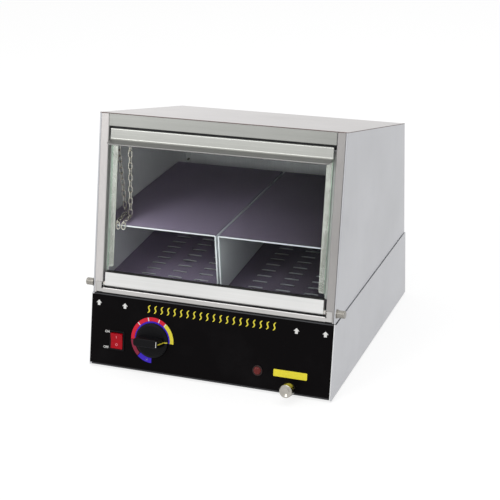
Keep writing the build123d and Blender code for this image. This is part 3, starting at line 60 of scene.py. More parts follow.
# --------------------------------------------------------------------------- shapes
@dataclass(frozen=True)
class LeaningFront:
    """The leaning front plane: x across, s up its slope, n out of it, in millimetres."""

    bottom_y: float = -196.42112694
    bottom_z: float = 3.0
    lean: float = math.radians(15.0)

    def place(self, x: np.ndarray, s: np.ndarray, n: np.ndarray | float) -> np.ndarray:
        """Turn face coordinates into row frame points.

        y is the bottom edge's y, less n times the lean's cosine, plus s times its sine.
        z is the bottom edge's z, plus n times the sine, plus s times the cosine.

        Args:
            x: Distances across the front.
            s: Distances up the slope.
            n: Distances out of the face.

        Returns:
            Points in metres, with one more axis than the inputs.
        """
        x, s, n = np.broadcast_arrays(np.asarray(x, float), np.asarray(s, float), np.asarray(n, float))
        y = self.bottom_y - n * math.cos(self.lean) + s * math.sin(self.lean)
        z = self.bottom_z + n * math.sin(self.lean) + s * math.cos(self.lean)
        return np.stack([x, y, z], axis=-1) * MM

    def outward(self) -> Vector:
        """Unit vector out of the face."""
        return Vector((0.0, -math.cos(self.lean), math.sin(self.lean)))


FRONT = LeaningFront()


@dataclass
class Skin:
    """Collects closed solids, each a loop of points carried along a path."""

    points: list[np.ndarray] = field(default_factory=list)
    faces: list[tuple[int, ...]] = field(default_factory=list)
    count: int = 0

    def carry(self, loops: np.ndarray) -> Skin:
        """Join each loop to the next with quads and close the first and last loop.

        Face (i, j) spans loop i to i + 1 and point j to j + 1, where j wraps round.

        Args:
            loops: Points of shape (stations, around, 3) in metres.

        Returns:
            This skin, so that calls can follow one another.
        """
        stations, around = loops.shape[:2]
        index = self.count + np.arange(stations * around).reshape(stations, around)
        ahead = np.roll(index, -1, axis=1)
        quads = np.stack([index[:-1], index[1:], ahead[1:], ahead[:-1]], axis=-1)
        self.faces += [tuple(quad) for quad in quads.reshape(-1, 4).tolist()]
        self.faces += [tuple(index[0].tolist()), tuple(index[-1, ::-1].tolist())]
        self.points.append(loops.reshape(-1, 3))
        self.count += stations * around
        return self

    def plate(self, x: np.ndarray, s: np.ndarray, low: float, high: float) -> Skin:
        """Raise an outline on the front face from n = low to n = high."""
        return self.carry(np.stack([FRONT.place(x, s, low), FRONT.place(x, s, high)]))

    def piece(self, name: str, body: str, finish: Finish, slot: str) -> bpy.types.Object:
        """Make one mesh object of the solids and put it on a body.

        Args:
            name: Piece name.
            body: Body of the frame that it rides on.
            finish: Its material.
            slot: The record's material slot; not used.

        Returns:
            The new object.
        """
        mesh = bpy.data.meshes.new(name)
        mesh.from_pydata(np.concatenate(self.points).tolist(), [], self.faces)
        return add_piece(name, mesh, body, finish)


def add_piece(name: str, mesh: bpy.types.Mesh, body: str, finish: Finish) -> bpy.types.Object:
    """Link a mesh as a piece that rides on a body.

    A closed mesh whose signed volume is negative is turned right side out.

    Args:
        name: Piece name.
        mesh: Mesh in row frame metres.
        body: Body of the frame that it rides on.
        finish: Its material.

    Returns:
        The new object.
    """
    mesh.validate()
    mesh.calc_loop_triangles()
    corners = np.empty(len(mesh.loop_triangles) * 3, np.int32)
    mesh.loop_triangles.foreach_get("vertices", corners)
    spots = np.empty(len(mesh.vertices) * 3)
    mesh.vertices.foreach_get("co", spots)
    spots = spots.reshape(-1, 3)
    a, b, c = (spots[corners[k::3]] - spots.mean(axis=0) for k in range(3))
    if np.einsum("ij,ij->i", a, np.cross(b, c)).sum() < 0:
        mesh.flip_normals()
    mesh.name = name
    mesh.materials.clear()
    mesh.materials.append(finish.material())
    piece = bpy.data.objects.new(name, mesh)
    bpy.context.scene.collection.objects.link(piece)
    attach(piece, body)
    log.info("piece %s: %d faces on %s", name, len(mesh.polygons), body)
    return piece


def rounded_outline(
    width: float, height: float, radius: float, steps: int = 6
) -> tuple[np.ndarray, np.ndarray]:
    """Outline of a rectangle with round corners, about the origin.

    Each corner is a quarter circle about a centre one radius in from both sides.

    Args:
        width: Size across.
        height: Size up the slope.
        radius: Corner radius.
        steps: Points in a corner, less one.

    Returns:
        The x and s values, anticlockwise.
    """
    quarter = np.linspace(0, math.pi / 2, steps + 1)
    turn = np.add.outer(np.arange(4) * math.pi / 2, quarter)
    side_x = np.array([1, -1, -1, 1])[:, None] * (width / 2 - radius)
    side_s = np.array([1, 1, -1, -1])[:, None] * (height / 2 - radius)
    return (side_x + radius * np.cos(turn)).ravel(), (side_s + radius * np.sin(turn)).ravel()


def front_of(node: str, x: float, s: float) -> float:
    """How far out of the front plane a solid's foremost face stands.

    Args:
        node: The solid.
        x: Distance across the front.
        s: Distance up the slope.

    Returns:
        The distance in millimetres.
    """
    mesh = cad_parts[node].data
    tree = BVHTree.FromPolygons(
        [v.co.copy() for v in mesh.vertices], [tuple(p.vertices) for p in mesh.polygons]
    )
    reach = 80.0
    start = Vector(FRONT.place(x, s, reach).tolist())
    hit = tree.ray_cast(start, -FRONT.outward())
    if hit[3] is None:
        raise ValueError(f"nothing of {node} lies behind x {x}, s {s}")
    return reach - hit[3] / MM


# --------------------------------------------------------------------------- shader graphs
class Graph:
    """Adds nodes to a tree and joins them by socket name."""

    def __init__(self, tree: Tree) -> None:
        """Keep the tree that the nodes go into."""
        self.tree = tree

    def put(self, kind: str, inputs: dict[str | int, object] | None = None, **settings: object) -> Node:
        """Add a node.

        Args:
            kind: Type name of the node.
            inputs: A number, colour or output socket for each named input.
            settings: Properties of the node.

        Returns:
            The node.
        """
        node = self.tree.nodes.new(kind)
        for key, value in settings.items():
            setattr(node, key, value)
        for key, value in (inputs or {}).items():
            self.feed(node.inputs[key], value)
        return node

    def feed(self, socket: Socket, value: object) -> None:
        """Link an output to a socket, or set the socket's own value.

        Args:
            socket: An input.
            value: A number, colour or output socket. A colour socket's alpha is one.
        """
        if isinstance(value, Socket):
            self.tree.links.new(value, socket)
        elif socket.type == "RGBA" and len(value) == 3:
            socket.default_value = (*value, 1.0)
        else:
            socket.default_value = value

    def join(self, source: Socket, node: Node, name: str) -> None:
        """Link an output to a node's named input."""
        self.tree.links.new(source, node.inputs[name])

    def math(self, operation: str, first: object, second: object = 0.0) -> Socket:
        """Add a Math node and return its result."""
        return self.put("ShaderNodeMath", {0: first, 1: second}, operation=operation).outputs[0]

    def span(self, value: object, low: float, high: float, to_low: float, to_high: float) -> Socket:
        """Scale a value from one range to another, held at its ends."""
        inputs = {"Value": value, "From Min": low, "From Max": high, "To Min": to_low, "To Max": to_high}
        return self.put("ShaderNodeMapRange", inputs).outputs["Result"]

    def mix(self, factor: object, first: object, second: object) -> Socket:
        """Mix two colours by a factor."""
        return self.put("ShaderNodeMix", {0: factor, 6: first, 7: second}, data_type="RGBA").outputs[2]

    def noise(self, place: object, scale: float, detail: float = 2.0, roughness: float = 0.5) -> Socket:
        """Add a noise pattern and return its value."""
        inputs = {"Vector": place, "Scale": scale, "Detail": detail, "Roughness": roughness}
        return self.put("ShaderNodeTexNoise", inputs).outputs[0]

    def effect(self, group: Tree, inputs: dict[str, object]) -> Node:
        """Place a shared effect with its own values."""
        return self.put("ShaderNodeGroup", inputs, node_tree=group)

    def place(self) -> Socket:
        """The point on the object."""
        return self.put("ShaderNodeTexCoord").outputs["Object"]


@dataclass(frozen=True)
class Effect:
    """A shared node group: its sockets and how it is filled."""

    name: str
    inputs: tuple[tuple[str, str, object], ...]
    outputs: tuple[str, ...]
    fill: Callable[[Graph, Node, Node], None]

    @cache  # noqa: B019
    def group(self) -> Tree:
        """Build the group once.

        Returns:
            The node group.
        """
        tree = bpy.data.node_groups.new(self.name, "ShaderNodeTree")
        for name, kind, value in self.inputs:
            socket = tree.interface.new_socket(name=name, in_out="INPUT", socket_type=kind)
            if value is not None:
                socket.default_value = value
        for name in self.outputs:
            tree.interface.new_socket(name=name, in_out="OUTPUT", socket_type="NodeSocketFloat")
        self.fill(Graph(tree), tree.nodes.new("NodeGroupInput"), tree.nodes.new("NodeGroupOutput"))
        return tree


def fill_brushing(graph: Graph, given: Node, out: Node) -> None:
    """Fine streaks are noise stretched along the brushing; clouds are slow, unstretched noise.

    Args:
        graph: The group's tree.
        given: Its inputs.
        out: Its outputs.
    """
    stretched = graph.put(
        "ShaderNodeMapping", {"Vector": given.outputs["Vector"], "Scale": given.outputs["Stretch"]}
    ).outputs[0]
    fine = graph.noise(stretched, 1.0, 4.0, 0.65)
    broad = graph.noise(stretched, 0.22, 2.0, 0.5)
    streaks = graph.math("ADD", graph.math("MULTIPLY", fine, 0.65), graph.math("MULTIPLY", broad, 0.35))
    clouds = graph.noise(given.outputs["Vector"], 5.0, 3.0, 0.55)
    graph.join(graph.span(streaks, 0.3, 0.7, 0.0, 1.0), out, "Streaks")
    graph.join(graph.span(clouds, 0.25, 0.75, 0.0, 1.0), out, "Clouds")


def fill_handling(graph: Graph, given: Node, out: Node) -> None:
    """Smudges are the high patches of slow noise; specks are the tops of fast noise.

    Args:
        graph: The group's tree.
        given: Its inputs.
        out: Its outputs.
    """
    patches = graph.noise(given.outputs["Vector"], 14.0, 4.0, 0.6)
    specks = graph.noise(given.outputs["Vector"], 900.0, 1.0, 0.5)
    graph.join(graph.span(patches, 0.52, 0.72, 0.0, 1.0), out, "Smudges")
    graph.join(graph.span(specks, 0.7, 0.78, 0.0, 1.0), out, "Specks")


# The hood's inside, in millimetres: half its width, its top up the slope, its front and back.
INSIDE_HALF = 201.0
INSIDE_TOP = 401.2
INSIDE_FRONT = 0.5
INSIDE_BACK = 207.5
# The depth behind the face and the half width beyond which a sheet's edges take the painted dark rim line,
# and half the width over which the painted shade darkens a sheet towards +x.
RIM_DEPTH = 1.1
RIM_HALF = 200.9
PAINTED_FALLOFF_HALF = 200.0


def fill_inside(graph: Graph, given: Node, out: Node) -> None:
    """Where a point lies on the cabinet.

    Inside is one inside the hood's sheets and nought outside, from the point's distance
    to each wall's middle. Slope and Depth are the distances up the leaning face and
    behind it.

    Args:
        graph: The group's tree.
        given: Its inputs.
        out: Its outputs.
    """
    parts = graph.put("ShaderNodeSeparateXYZ", {0: given.outputs["Vector"]})
    x, y, z = parts.outputs
    along = graph.math("SUBTRACT", y, FRONT.bottom_y * MM)
    above = graph.math("SUBTRACT", z, FRONT.bottom_z * MM)
    sine, cosine = math.sin(FRONT.lean), math.cos(FRONT.lean)
    slope = graph.math("ADD", graph.math("MULTIPLY", along, sine), graph.math("MULTIPLY", above, cosine))
    depth = graph.math("SUBTRACT", graph.math("MULTIPLY", along, cosine), graph.math("MULTIPLY", above, sine))
    mask = graph.math("LESS_THAN", graph.math("ABSOLUTE", x), INSIDE_HALF * MM)
    for test, value, edge in (
        ("LESS_THAN", slope, INSIDE_TOP * MM),
        ("GREATER_THAN", depth, INSIDE_FRONT * MM),
        ("LESS_THAN", y, INSIDE_BACK * MM),
    ):
        mask = graph.math("MULTIPLY", mask, graph.math(test, value, edge))
    graph.join(mask, out, "Inside")
    graph.join(slope, out, "Slope")
    graph.join(depth, out, "Depth")


VECTOR_IN = ("Vector", "NodeSocketVector", None)
BRUSHING = Effect(
    "Brushing",
    (VECTOR_IN, ("Stretch", "NodeSocketVector", (1.0, 1.0, 1.0))),
    ("Streaks", "Clouds"),
    fill_brushing,
)
HANDLING = Effect("Handling", (VECTOR_IN,), ("Smudges", "Specks"), fill_handling)
INSIDE = Effect("Inside", (VECTOR_IN,), ("Inside", "Slope", "Depth"), fill_inside)


# --------------------------------------------------------------------------- finishes
class Brushed(Enum):
    """Direction of the brushing, as pattern scales along x, y and z per metre."""

    ACROSS = (9.0, 1500.0, 1500.0)
    ALONG = (1500.0, 9.0, 1500.0)
    UP = (1500.0, 1500.0, 9.0)


@dataclass(frozen=True)
class Finish(ABC):
    """A material made once, from the fields of its class."""

    name: str

    @cache  # noqa: B019
    def material(self) -> bpy.types.Material:
        """Build the material once.

        Returns:
            The material.
        """
        made = bpy.data.materials.new(self.name)
        made.use_nodes = True
        made.node_tree.nodes.clear()
        graph = Graph(made.node_tree)
        shader = graph.put("ShaderNodeBsdfPrincipled")
        surface = self.paint(graph, shader) or shader.outputs[0]
        graph.put("ShaderNodeOutputMaterial", {"Surface": surface})
        return made

    @abstractmethod
    def paint(self, graph: Graph, shader: Node) -> Socket | None:
        """Set and link the shader's inputs.

        Args:
            graph: The material's tree.
            shader: Its Principled BSDF.

        Returns:
            The surface output, where it isn't the shader's own.
        """


def bump(graph: Graph, height: Socket, strength: float, distance: float) -> Socket:
    """Turn a height into a normal."""
    inputs = {"Height": height, "Strength": strength, "Distance": distance}
    return graph.put("ShaderNodeBump", inputs).outputs["Normal"]


@dataclass(frozen=True)
class BrushedSteel(Finish):
    """Satin stainless sheet: streaks along the brushing, slow clouds and faint finger marks."""

    tone: Colour = (0.60, 0.59, 0.58)
    # The inside's tone holds painted light on the chamber's walls and painted shade on the other sheets.
    inner: Colour = (0.30, 0.31, 0.33)
    brushed: Brushed = Brushed.ACROSS
    roughness: float = 0.36
    inner_roughness: float = 0.42
    inner_metal: float = 0.55
    streak: float = 0.06
    cloud: float = 0.08
    # Painted shade: how much darker the sheet grows towards +x.
    painted_falloff: float = 0.0
    # Painted shade: a darker tone below low_s up the slope, for a lip that faces down.
    painted_low_shade: Colour | None = None
    low_s: float = 0.0
    # Painted shade: a dark line along the sheet's front rim and side edges.
    painted_rim_shade: Colour | None = None

    def paint(self, graph: Graph, shader: Node) -> None:
        """Colour and roughness follow the streaks, and the inside is duller, with the chamber's light and
        shade painted into its own tone.

        Args:
            graph: The material's tree.
            shader: Its Principled BSDF.
        """
        here = graph.place()
        lines = graph.effect(BRUSHING.group(), {"Vector": here, "Stretch": self.brushed.value})
        marks = graph.effect(HANDLING.group(), {"Vector": here})
        spot = graph.effect(INSIDE.group(), {"Vector": here})
        inside = spot.outputs["Inside"]
        spread = self.streak + self.cloud
        blend = graph.math(
            "ADD",
            graph.math("MULTIPLY", lines.outputs["Streaks"], self.streak / spread),
            graph.math("MULTIPLY", lines.outputs["Clouds"], self.cloud / spread),
        )
        outer = graph.mix(blend, shade(self.tone, 1 - spread), shade(self.tone, 1 + spread))
        # The inside takes the inner tone, in which the chamber's light and shade are painted.
        inner = graph.mix(blend, shade(self.inner, 1 - 2 * spread), shade(self.inner, 1 + 2 * spread))
        x = graph.put("ShaderNodeSeparateXYZ", {0: here}).outputs[0]
        # Painted shade: below low_s up the slope the sheet takes the darker low tone.
        if self.painted_low_shade:
            low = graph.math("LESS_THAN", spot.outputs["Slope"], self.low_s * MM)
            outer = graph.mix(low, outer, self.painted_low_shade)
        # Painted shade: the tone darkens across x towards +x, for light that falls off to the right.
        if self.painted_falloff:
            dark = graph.span(x, -PAINTED_FALLOFF_HALF * MM, PAINTED_FALLOFF_HALF * MM, 0.0, 2 * self.painted_falloff / (1 + self.painted_falloff))
            outer = graph.mix(dark, outer, (0.0, 0.0, 0.0))
        # Painted shade: the front rim and the side edges take a dark line for the shadow gap at the sheet's
        # edge.
        if self.painted_rim_shade:
            front = graph.math("LESS_THAN", spot.outputs["Depth"], RIM_DEPTH * MM)
            side = graph.math("GREATER_THAN", graph.math("ABSOLUTE", x), RIM_HALF * MM)
            outer = graph.mix(graph.math("MAXIMUM", front, side), outer, self.painted_rim_shade)
        graph.join(graph.span(inside, 0.0, 1.0, 1.0, self.inner_metal), shader, "Metallic")
        graph.join(graph.mix(inside, outer, inner), shader, "Base Color")
        base = graph.span(inside, 0.0, 1.0, self.roughness, self.inner_roughness)
        rough = graph.math("ADD", base, graph.span(lines.outputs["Streaks"], 0.0, 1.0, -0.05, 0.05))
        rough = graph.math("ADD", rough, graph.math("MULTIPLY", marks.outputs["Smudges"], 0.05))
        graph.join(rough, shader, "Roughness")
        graph.join(bump(graph, lines.outputs["Streaks"], 0.12, 0.05 * MM), shader, "Normal")


@dataclass(frozen=True)
class ChamberShadedSteel(Finish):
    """Chamber steel with painted light and shade: paler on upright walls and darker to the right.

    The painted tone runs from near to far across x, and an upright face takes the paler wall tones of painted
    light.
    """

    # Painted light and shade: level faces run from near to far across x, upright walls from near_wall to
    # far_wall.
    near: Colour = (0.36, 0.29, 0.42)
    far: Colour = (0.035, 0.030, 0.036)
    near_wall: Colour = (0.97, 0.98, 1.0)
    far_wall: Colour = (0.62, 0.65, 0.70)
    specular: float = 0.12
    reach: tuple[float, float] = (-200.0, 200.0)
    roughness: float = 0.40

    def paint(self, graph: Graph, shader: Node) -> None:
        """Clouds and streaks along the sheet vary the tone and the roughness.

        Args:
            graph: The material's tree.
            shader: Its Principled BSDF.
        """
        here = graph.place()
        lines = graph.effect(BRUSHING.group(), {"Vector": here, "Stretch": Brushed.ALONG.value})
        x = graph.put("ShaderNodeSeparateXYZ", {0: here}).outputs[0]
        normal = graph.put("ShaderNodeTexCoord").outputs["Normal"]
        upward = graph.math("ABSOLUTE", graph.put("ShaderNodeSeparateXYZ", {0: normal}).outputs[2])
        # Painted shade towards the right, and painted light on the upright walls.
        across = graph.span(x, self.reach[0] * MM, self.reach[1] * MM, 0.0, 1.0)
        level = graph.mix(across, self.near, self.far)
        wall = graph.mix(across, self.near_wall, self.far_wall)
        plain = graph.mix(graph.span(upward, 0.4, 0.7, 0.0, 1.0), wall, level)
        blend = graph.span(lines.outputs["Clouds"], 0.0, 1.0, 0.0, 0.3)
        shader.inputs["Specular IOR Level"].default_value = self.specular
        graph.join(graph.mix(blend, plain, shade(self.far, 0.9)), shader, "Base Color")
        rough = graph.span(lines.outputs["Streaks"], 0.0, 1.0, self.roughness - 0.05, self.roughness + 0.05)
        graph.join(rough, shader, "Roughness")
        graph.join(bump(graph, lines.outputs["Streaks"], 0.12, 0.05 * MM), shader, "Normal")


@dataclass(frozen=True)
class BrightMetal(Finish):
    """Polished, plated or drawn metal with fine turning marks."""

    tone: Colour = (0.52, 0.50, 0.46)
    roughness: float = 0.16
    stain: Colour = (0.20, 0.18, 0.15)
    stained: float = 0.6

    def paint(self, graph: Graph, shader: Node) -> None:
        """Smudges dull the polish a little.

        Args:
            graph: The material's tree.
            shader: Its Principled BSDF.
        """
        here = graph.place()
        marks = graph.effect(HANDLING.group(), {"Vector": here})
        grain = graph.noise(here, 1800.0, 3.0, 0.6)
        stains = graph.math("MULTIPLY", graph.noise(here, 60.0, 4.0, 0.6), self.stained)
        shader.inputs["Metallic"].default_value = 1.0
        graph.join(graph.mix(stains, self.tone, self.stain), shader, "Base Color")
        rough = graph.math("ADD", graph.span(grain, 0.3, 0.7, self.roughness, self.roughness + 0.08),
                           graph.math("MULTIPLY", marks.outputs["Smudges"], 0.08))
        graph.join(rough, shader, "Roughness")
        graph.join(bump(graph, grain, 0.08, 0.02 * MM), shader, "Normal")


@dataclass(frozen=True)
class Moulded(Finish):
    """Moulded plastic or rubber with a fine eroded texture."""

    tone: Colour = (0.004, 0.004, 0.005)
    roughness: float = 0.40
    specular: float = 0.10
    texture: float = 1400.0
    depth: float = 0.02
    scatter: float = 0.0

    def paint(self, graph: Graph, shader: Node) -> None:
        """Texture goes into roughness and bump, and smudges make it a little greyer.

        Args:
            graph: The material's tree.
            shader: Its Principled BSDF.
        """
        here = graph.place()
        marks = graph.effect(HANDLING.group(), {"Vector": here})
        grain = graph.noise(here, self.texture, 3.0, 0.6)
        tint = graph.math("MULTIPLY", marks.outputs["Smudges"], 0.35)
        graph.join(graph.mix(tint, self.tone, shade(self.tone, 1.35, 0.004)), shader, "Base Color")
        shader.inputs["Specular IOR Level"].default_value = self.specular
        shader.inputs["Subsurface Weight"].default_value = self.scatter
        shader.inputs["Subsurface Scale"].default_value = 2 * MM
        rough = graph.span(grain, 0.3, 0.7, self.roughness - 0.06, self.roughness + 0.06)
        graph.join(rough, shader, "Roughness")
        graph.join(bump(graph, grain, 0.25, self.depth * MM), shader, "Normal")


@dataclass(frozen=True)
class PanelFilm(Finish):
    """Black printed film over the control panel, with a slight orange peel and a few dust specks."""

    tone: Colour = (0.0030, 0.0024, 0.0028)
    dust: Colour = (0.012, 0.011, 0.012)
    roughness: float = 0.34
    specular: float = 0.035

    def paint(self, graph: Graph, shader: Node) -> None:
        """Peel is broad noise in the bump, and specks lift the colour.

        Args:
            graph: The material's tree.
            shader: Its Principled BSDF.
        """
        here = graph.place()
        marks = graph.effect(HANDLING.group(), {"Vector": here})
        peel = graph.noise(here, 260.0, 2.0, 0.5)
        lift = graph.math("ADD", graph.math("MULTIPLY", marks.outputs["Specks"], 0.5),
                          graph.math("MULTIPLY", marks.outputs["Smudges"], 0.25))
        graph.join(graph.mix(lift, self.tone, self.dust), shader, "Base Color")
        shader.inputs["Specular IOR Level"].default_value = self.specular
        rough = graph.math("ADD", graph.span(peel, 0.3, 0.7, self.roughness - 0.04, self.roughness + 0.04),
                           graph.math("MULTIPLY", marks.outputs["Smudges"], 0.1))
        graph.join(rough, shader, "Roughness")
        graph.join(bump(graph, peel, 0.1, 0.04 * MM), shader, "Normal")


@dataclass(frozen=True)
class Ink(Finish):
    """Screen-printed ink with a slightly uneven coat."""

    tone: Colour = (0.8, 0.8, 0.78)
    roughness: float = 0.45
    specular: float = 0.2

    def paint(self, graph: Graph, shader: Node) -> None:
        """Pinholes and thin places darken the ink.

        Args:
            graph: The material's tree.
            shader: Its Principled BSDF.
        """
        here = graph.place()
        coat = graph.noise(here, 700.0, 3.0, 0.6)
        thin = graph.span(coat, 0.45, 0.75, 0.0, 1.0)
        graph.join(graph.mix(thin, self.tone, shade(self.tone, 0.86)), shader, "Base Color")
        shader.inputs["Specular IOR Level"].default_value = self.specular
        rough = graph.span(coat, 0.3, 0.7, self.roughness - 0.05, self.roughness + 0.08)
        graph.join(rough, shader, "Roughness")
        graph.join(bump(graph, coat, 0.1, 0.01 * MM), shader, "Normal")


@dataclass(frozen=True)
class DoorGlass(Finish):
    """Clear float glass, greener where it is cut."""

    clear: Colour = (0.95, 0.975, 0.965)
    edge: Colour = (0.50, 0.78, 0.62)
    shadow: Colour = (0.86, 0.90, 0.88)
    half_width: float = 180.3
    bottom_s: float = 146.0
    top_s: float = 372.0
    band: float = 0.35
    index: float = 1.09

    def paint(self, graph: Graph, shader: Node) -> Socket:
        """The cut edges are within a band of the pane's sides, and lamps shine through the glass.

        Args:
            graph: The material's tree.
            shader: Its Principled BSDF.

        Returns:
            The glass, or clear tint for shadow rays.
        """
        here = graph.place()
        parts = graph.put("ShaderNodeSeparateXYZ", {0: here})
        x, y, z = parts.outputs
        along = graph.math("MULTIPLY", graph.math("SUBTRACT", y, FRONT.bottom_y * MM), math.sin(FRONT.lean))
        above = graph.math("MULTIPLY", graph.math("SUBTRACT", z, FRONT.bottom_z * MM), math.cos(FRONT.lean))
        slope = graph.math("ADD", along, above)
        side = graph.math("GREATER_THAN", graph.math("ABSOLUTE", x), (self.half_width - self.band) * MM)
        low = graph.math("LESS_THAN", slope, (self.bottom_s + self.band) * MM)
        high = graph.math("GREATER_THAN", slope, (self.top_s - self.band) * MM)
        cut = graph.math("MAXIMUM", side, graph.math("MAXIMUM", low, high))
        haze = graph.effect(HANDLING.group(), {"Vector": here}).outputs["Smudges"]
        graph.join(graph.mix(cut, self.clear, self.edge), shader, "Base Color")
        graph.join(graph.math("MULTIPLY", haze, 0.01), shader, "Roughness")
        shader.inputs["Transmission Weight"].default_value = 1.0
        shader.inputs["IOR"].default_value = self.index
        lamps = graph.put("ShaderNodeLightPath").outputs["Is Shadow Ray"]
        through = graph.put("ShaderNodeBsdfTransparent", {"Color": self.shadow}).outputs[0]
        return graph.put("ShaderNodeMixShader", {0: lamps, 1: shader.outputs[0], 2: through}).outputs[0]


def shade(colour: Colour, gain: float, lift: float = 0.0) -> Colour:
    """Scale a colour and lift it, held between nought and one."""
    red, green, blue = (min(1.0, max(0.0, channel * gain + lift)) for channel in colour)
    return (red, green, blue)


# Painted shade for the inside of sheets that face into the dark hood.
PAINTED_INSIDE_SHADE: Colour = (0.035, 0.035, 0.038)
# These steels are one satin steel; their tones are painted lighter and darker with the light on each sheet,
# palest on the door's bottom rail and the roof, darkest on the header and the door's top rail.
FRONT_STEEL = BrushedSteel(
    "steel_front", tone=(0.57, 0.55, 0.54), inner=(0.42, 0.42, 0.41), brushed=Brushed.UP, painted_falloff=0.26
)
HEADER_STEEL = BrushedSteel("steel_header", tone=(0.37, 0.375, 0.355), inner=PAINTED_INSIDE_SHADE, painted_falloff=0.08)
CROSS_STEEL = BrushedSteel("steel_cross", tone=(0.50, 0.49, 0.48), inner=PAINTED_INSIDE_SHADE)
# Inside, the chamber's walls are painted near white and not metallic: painted light.
SIDE_STEEL = BrushedSteel(
    "steel_side", tone=(0.495, 0.50, 0.52), inner=(0.97, 0.98, 1.0), brushed=Brushed.UP, inner_metal=0.0
)
# The roof's rim takes the painted dark line of painted shade.
ROOF_STEEL = BrushedSteel(
    "steel_roof", tone=(0.61, 0.59, 0.585), inner=PAINTED_INSIDE_SHADE, painted_falloff=0.08, painted_rim_shade=(0.12, 0.085, 0.08)
)
DOOR_STEEL = BrushedSteel("steel_door", tone=(0.70, 0.70, 0.69), inner=(0.45, 0.45, 0.44))
# The door's top rail, with painted shade on its lip below the band.
BAND_STEEL = BrushedSteel(
    "steel_band", tone=(0.43, 0.435, 0.41), inner=(0.25, 0.26, 0.25),
    painted_low_shade=(0.21, 0.21, 0.205), low_s=360.5,
)
INSERT_STEEL = ChamberShadedSteel("steel_insert")
TANK_STEEL = BrushedSteel(
    "steel_tank", tone=(0.42, 0.42, 0.42), inner=(0.42, 0.42, 0.42), brushed=Brushed.ALONG
)
BRIGHT_STEEL = BrightMetal("bright_steel")
DULL_STEEL = BrightMetal("dull_steel", tone=(0.30, 0.29, 0.27), roughness=0.28)
TRIM_STEEL = BrightMetal("trim_steel", tone=(0.82, 0.83, 0.78), roughness=0.16)
CHAIN_STEEL = BrightMetal("chain_steel", tone=(0.78, 0.74, 0.66), roughness=0.2, stain=(0.5, 0.46, 0.4))
COPPER = BrightMetal("copper", tone=(0.80, 0.42, 0.28), roughness=0.22, stain=(0.4, 0.2, 0.13))
HEATER_SHEATH = BrightMetal(
    "heater_sheath", tone=(0.22, 0.21, 0.20), roughness=0.45, stain=(0.1, 0.09, 0.085)
)
BLACK_PLASTIC = Moulded("black_plastic")
LAMP_RING = Moulded("lamp_ring", tone=(0.020, 0.006, 0.006), roughness=0.3, specular=0.25)
BLACK_RUBBER = Moulded("black_rubber", tone=(0.014, 0.014, 0.014), roughness=0.62, specular=0.2)
RED_PLASTIC = Moulded(
    "red_plastic", tone=(0.42, 0.004, 0.012), roughness=0.25, specular=0.12, depth=0.005, scatter=0.15
)
LAMP_RED = Moulded(
    "lamp_red", tone=(0.13, 0.010, 0.008), roughness=0.2, specular=0.25, depth=0.004, scatter=0.2
)
WHITE_NYLON = Moulded("white_nylon", tone=(0.72, 0.70, 0.66), roughness=0.4, scatter=0.1)
PANEL_FILM = PanelFilm("panel_film")
DOOR_GLASS = DoorGlass("door_glass")
WHITE_INK = Ink("white_ink", tone=(0.80, 0.80, 0.78))
YELLOW_INK = Ink("yellow_ink", tone=(0.83, 0.72, 0.06))
RED_INK = Ink("red_ink", tone=(0.72, 0.015, 0.04))
DARK_RED_INK = Ink("dark_red_ink", tone=(0.26, 0.02, 0.05))
BLUE_INK = Ink("blue_ink", tone=(0.055, 0.02, 0.60))
PALE_RED = Ink("pale_red", tone=(0.78, 0.22, 0.26))
LABEL_YELLOW = Ink("label_yellow", tone=(0.90, 0.78, 0.05), roughness=0.35)


# --------------------------------------------------------------------------- sub-assemblies
@dataclass
class SubAssembly(ABC):
    """Part of the steamer: the solids that it dresses and the pieces that it adds."""

    @abstractmethod
    def finishes(self) -> dict[str, Finish]:
        """The finish of each solid."""

    def dress(self) -> None:
        """Give each solid its finish."""
        for node, finish in self.finishes().items():
            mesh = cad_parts[node].data
            for index in range(len(mesh.materials)):
                mesh.materials[index] = finish.material()
            log.info("solid %s: %s", node, finish.name)

    def build(self) -> None:
        """Add the pieces that the solids leave out."""


@dataclass
class Hood(SubAssembly):
    """Steel hood: sides, back, roof and the frame around the door."""

    def finishes(self) -> dict[str, Finish]:
        """Steel by the way each sheet was brushed, each sheet's tone painted with the light and shade that
        falls on it.

        Returns:
            The finish of each solid.
        """
        return {
            "hood_left_side": SIDE_STEEL,
            "hood_right_side": SIDE_STEEL,
            "hood_back": SIDE_STEEL,
            "hood_roof": ROOF_STEEL,
            "left_post": FRONT_STEEL,
            "right_post": FRONT_STEEL,
            "left_jamb": FRONT_STEEL,
            "right_jamb": FRONT_STEEL,
            "header": HEADER_STEEL,
            "lower_rail": CROSS_STEEL,
            "hood_screws": BRIGHT_STEEL,
            "seam_gasket": BLACK_RUBBER,
        }


@dataclass
class Base(SubAssembly):
    """Steel base with its cover, feet and cable gland."""

    def finishes(self) -> dict[str, Finish]:
        """Steel sheets, rubber feet and a plastic gland.

        Returns:
            The finish of each solid.
        """
        return {
            "base_front": CROSS_STEEL,
            "base_left_side": SIDE_STEEL,
            "base_right_side": SIDE_STEEL,
            "base_back": SIDE_STEEL,
            "base_cover": SIDE_STEEL,
            "base_screws": BRIGHT_STEEL,
            "cover_screws": BRIGHT_STEEL,
            "feet": BLACK_RUBBER,
            "cord_gland": BLACK_PLASTIC,
            "terminal_block": WHITE_NYLON,
        }


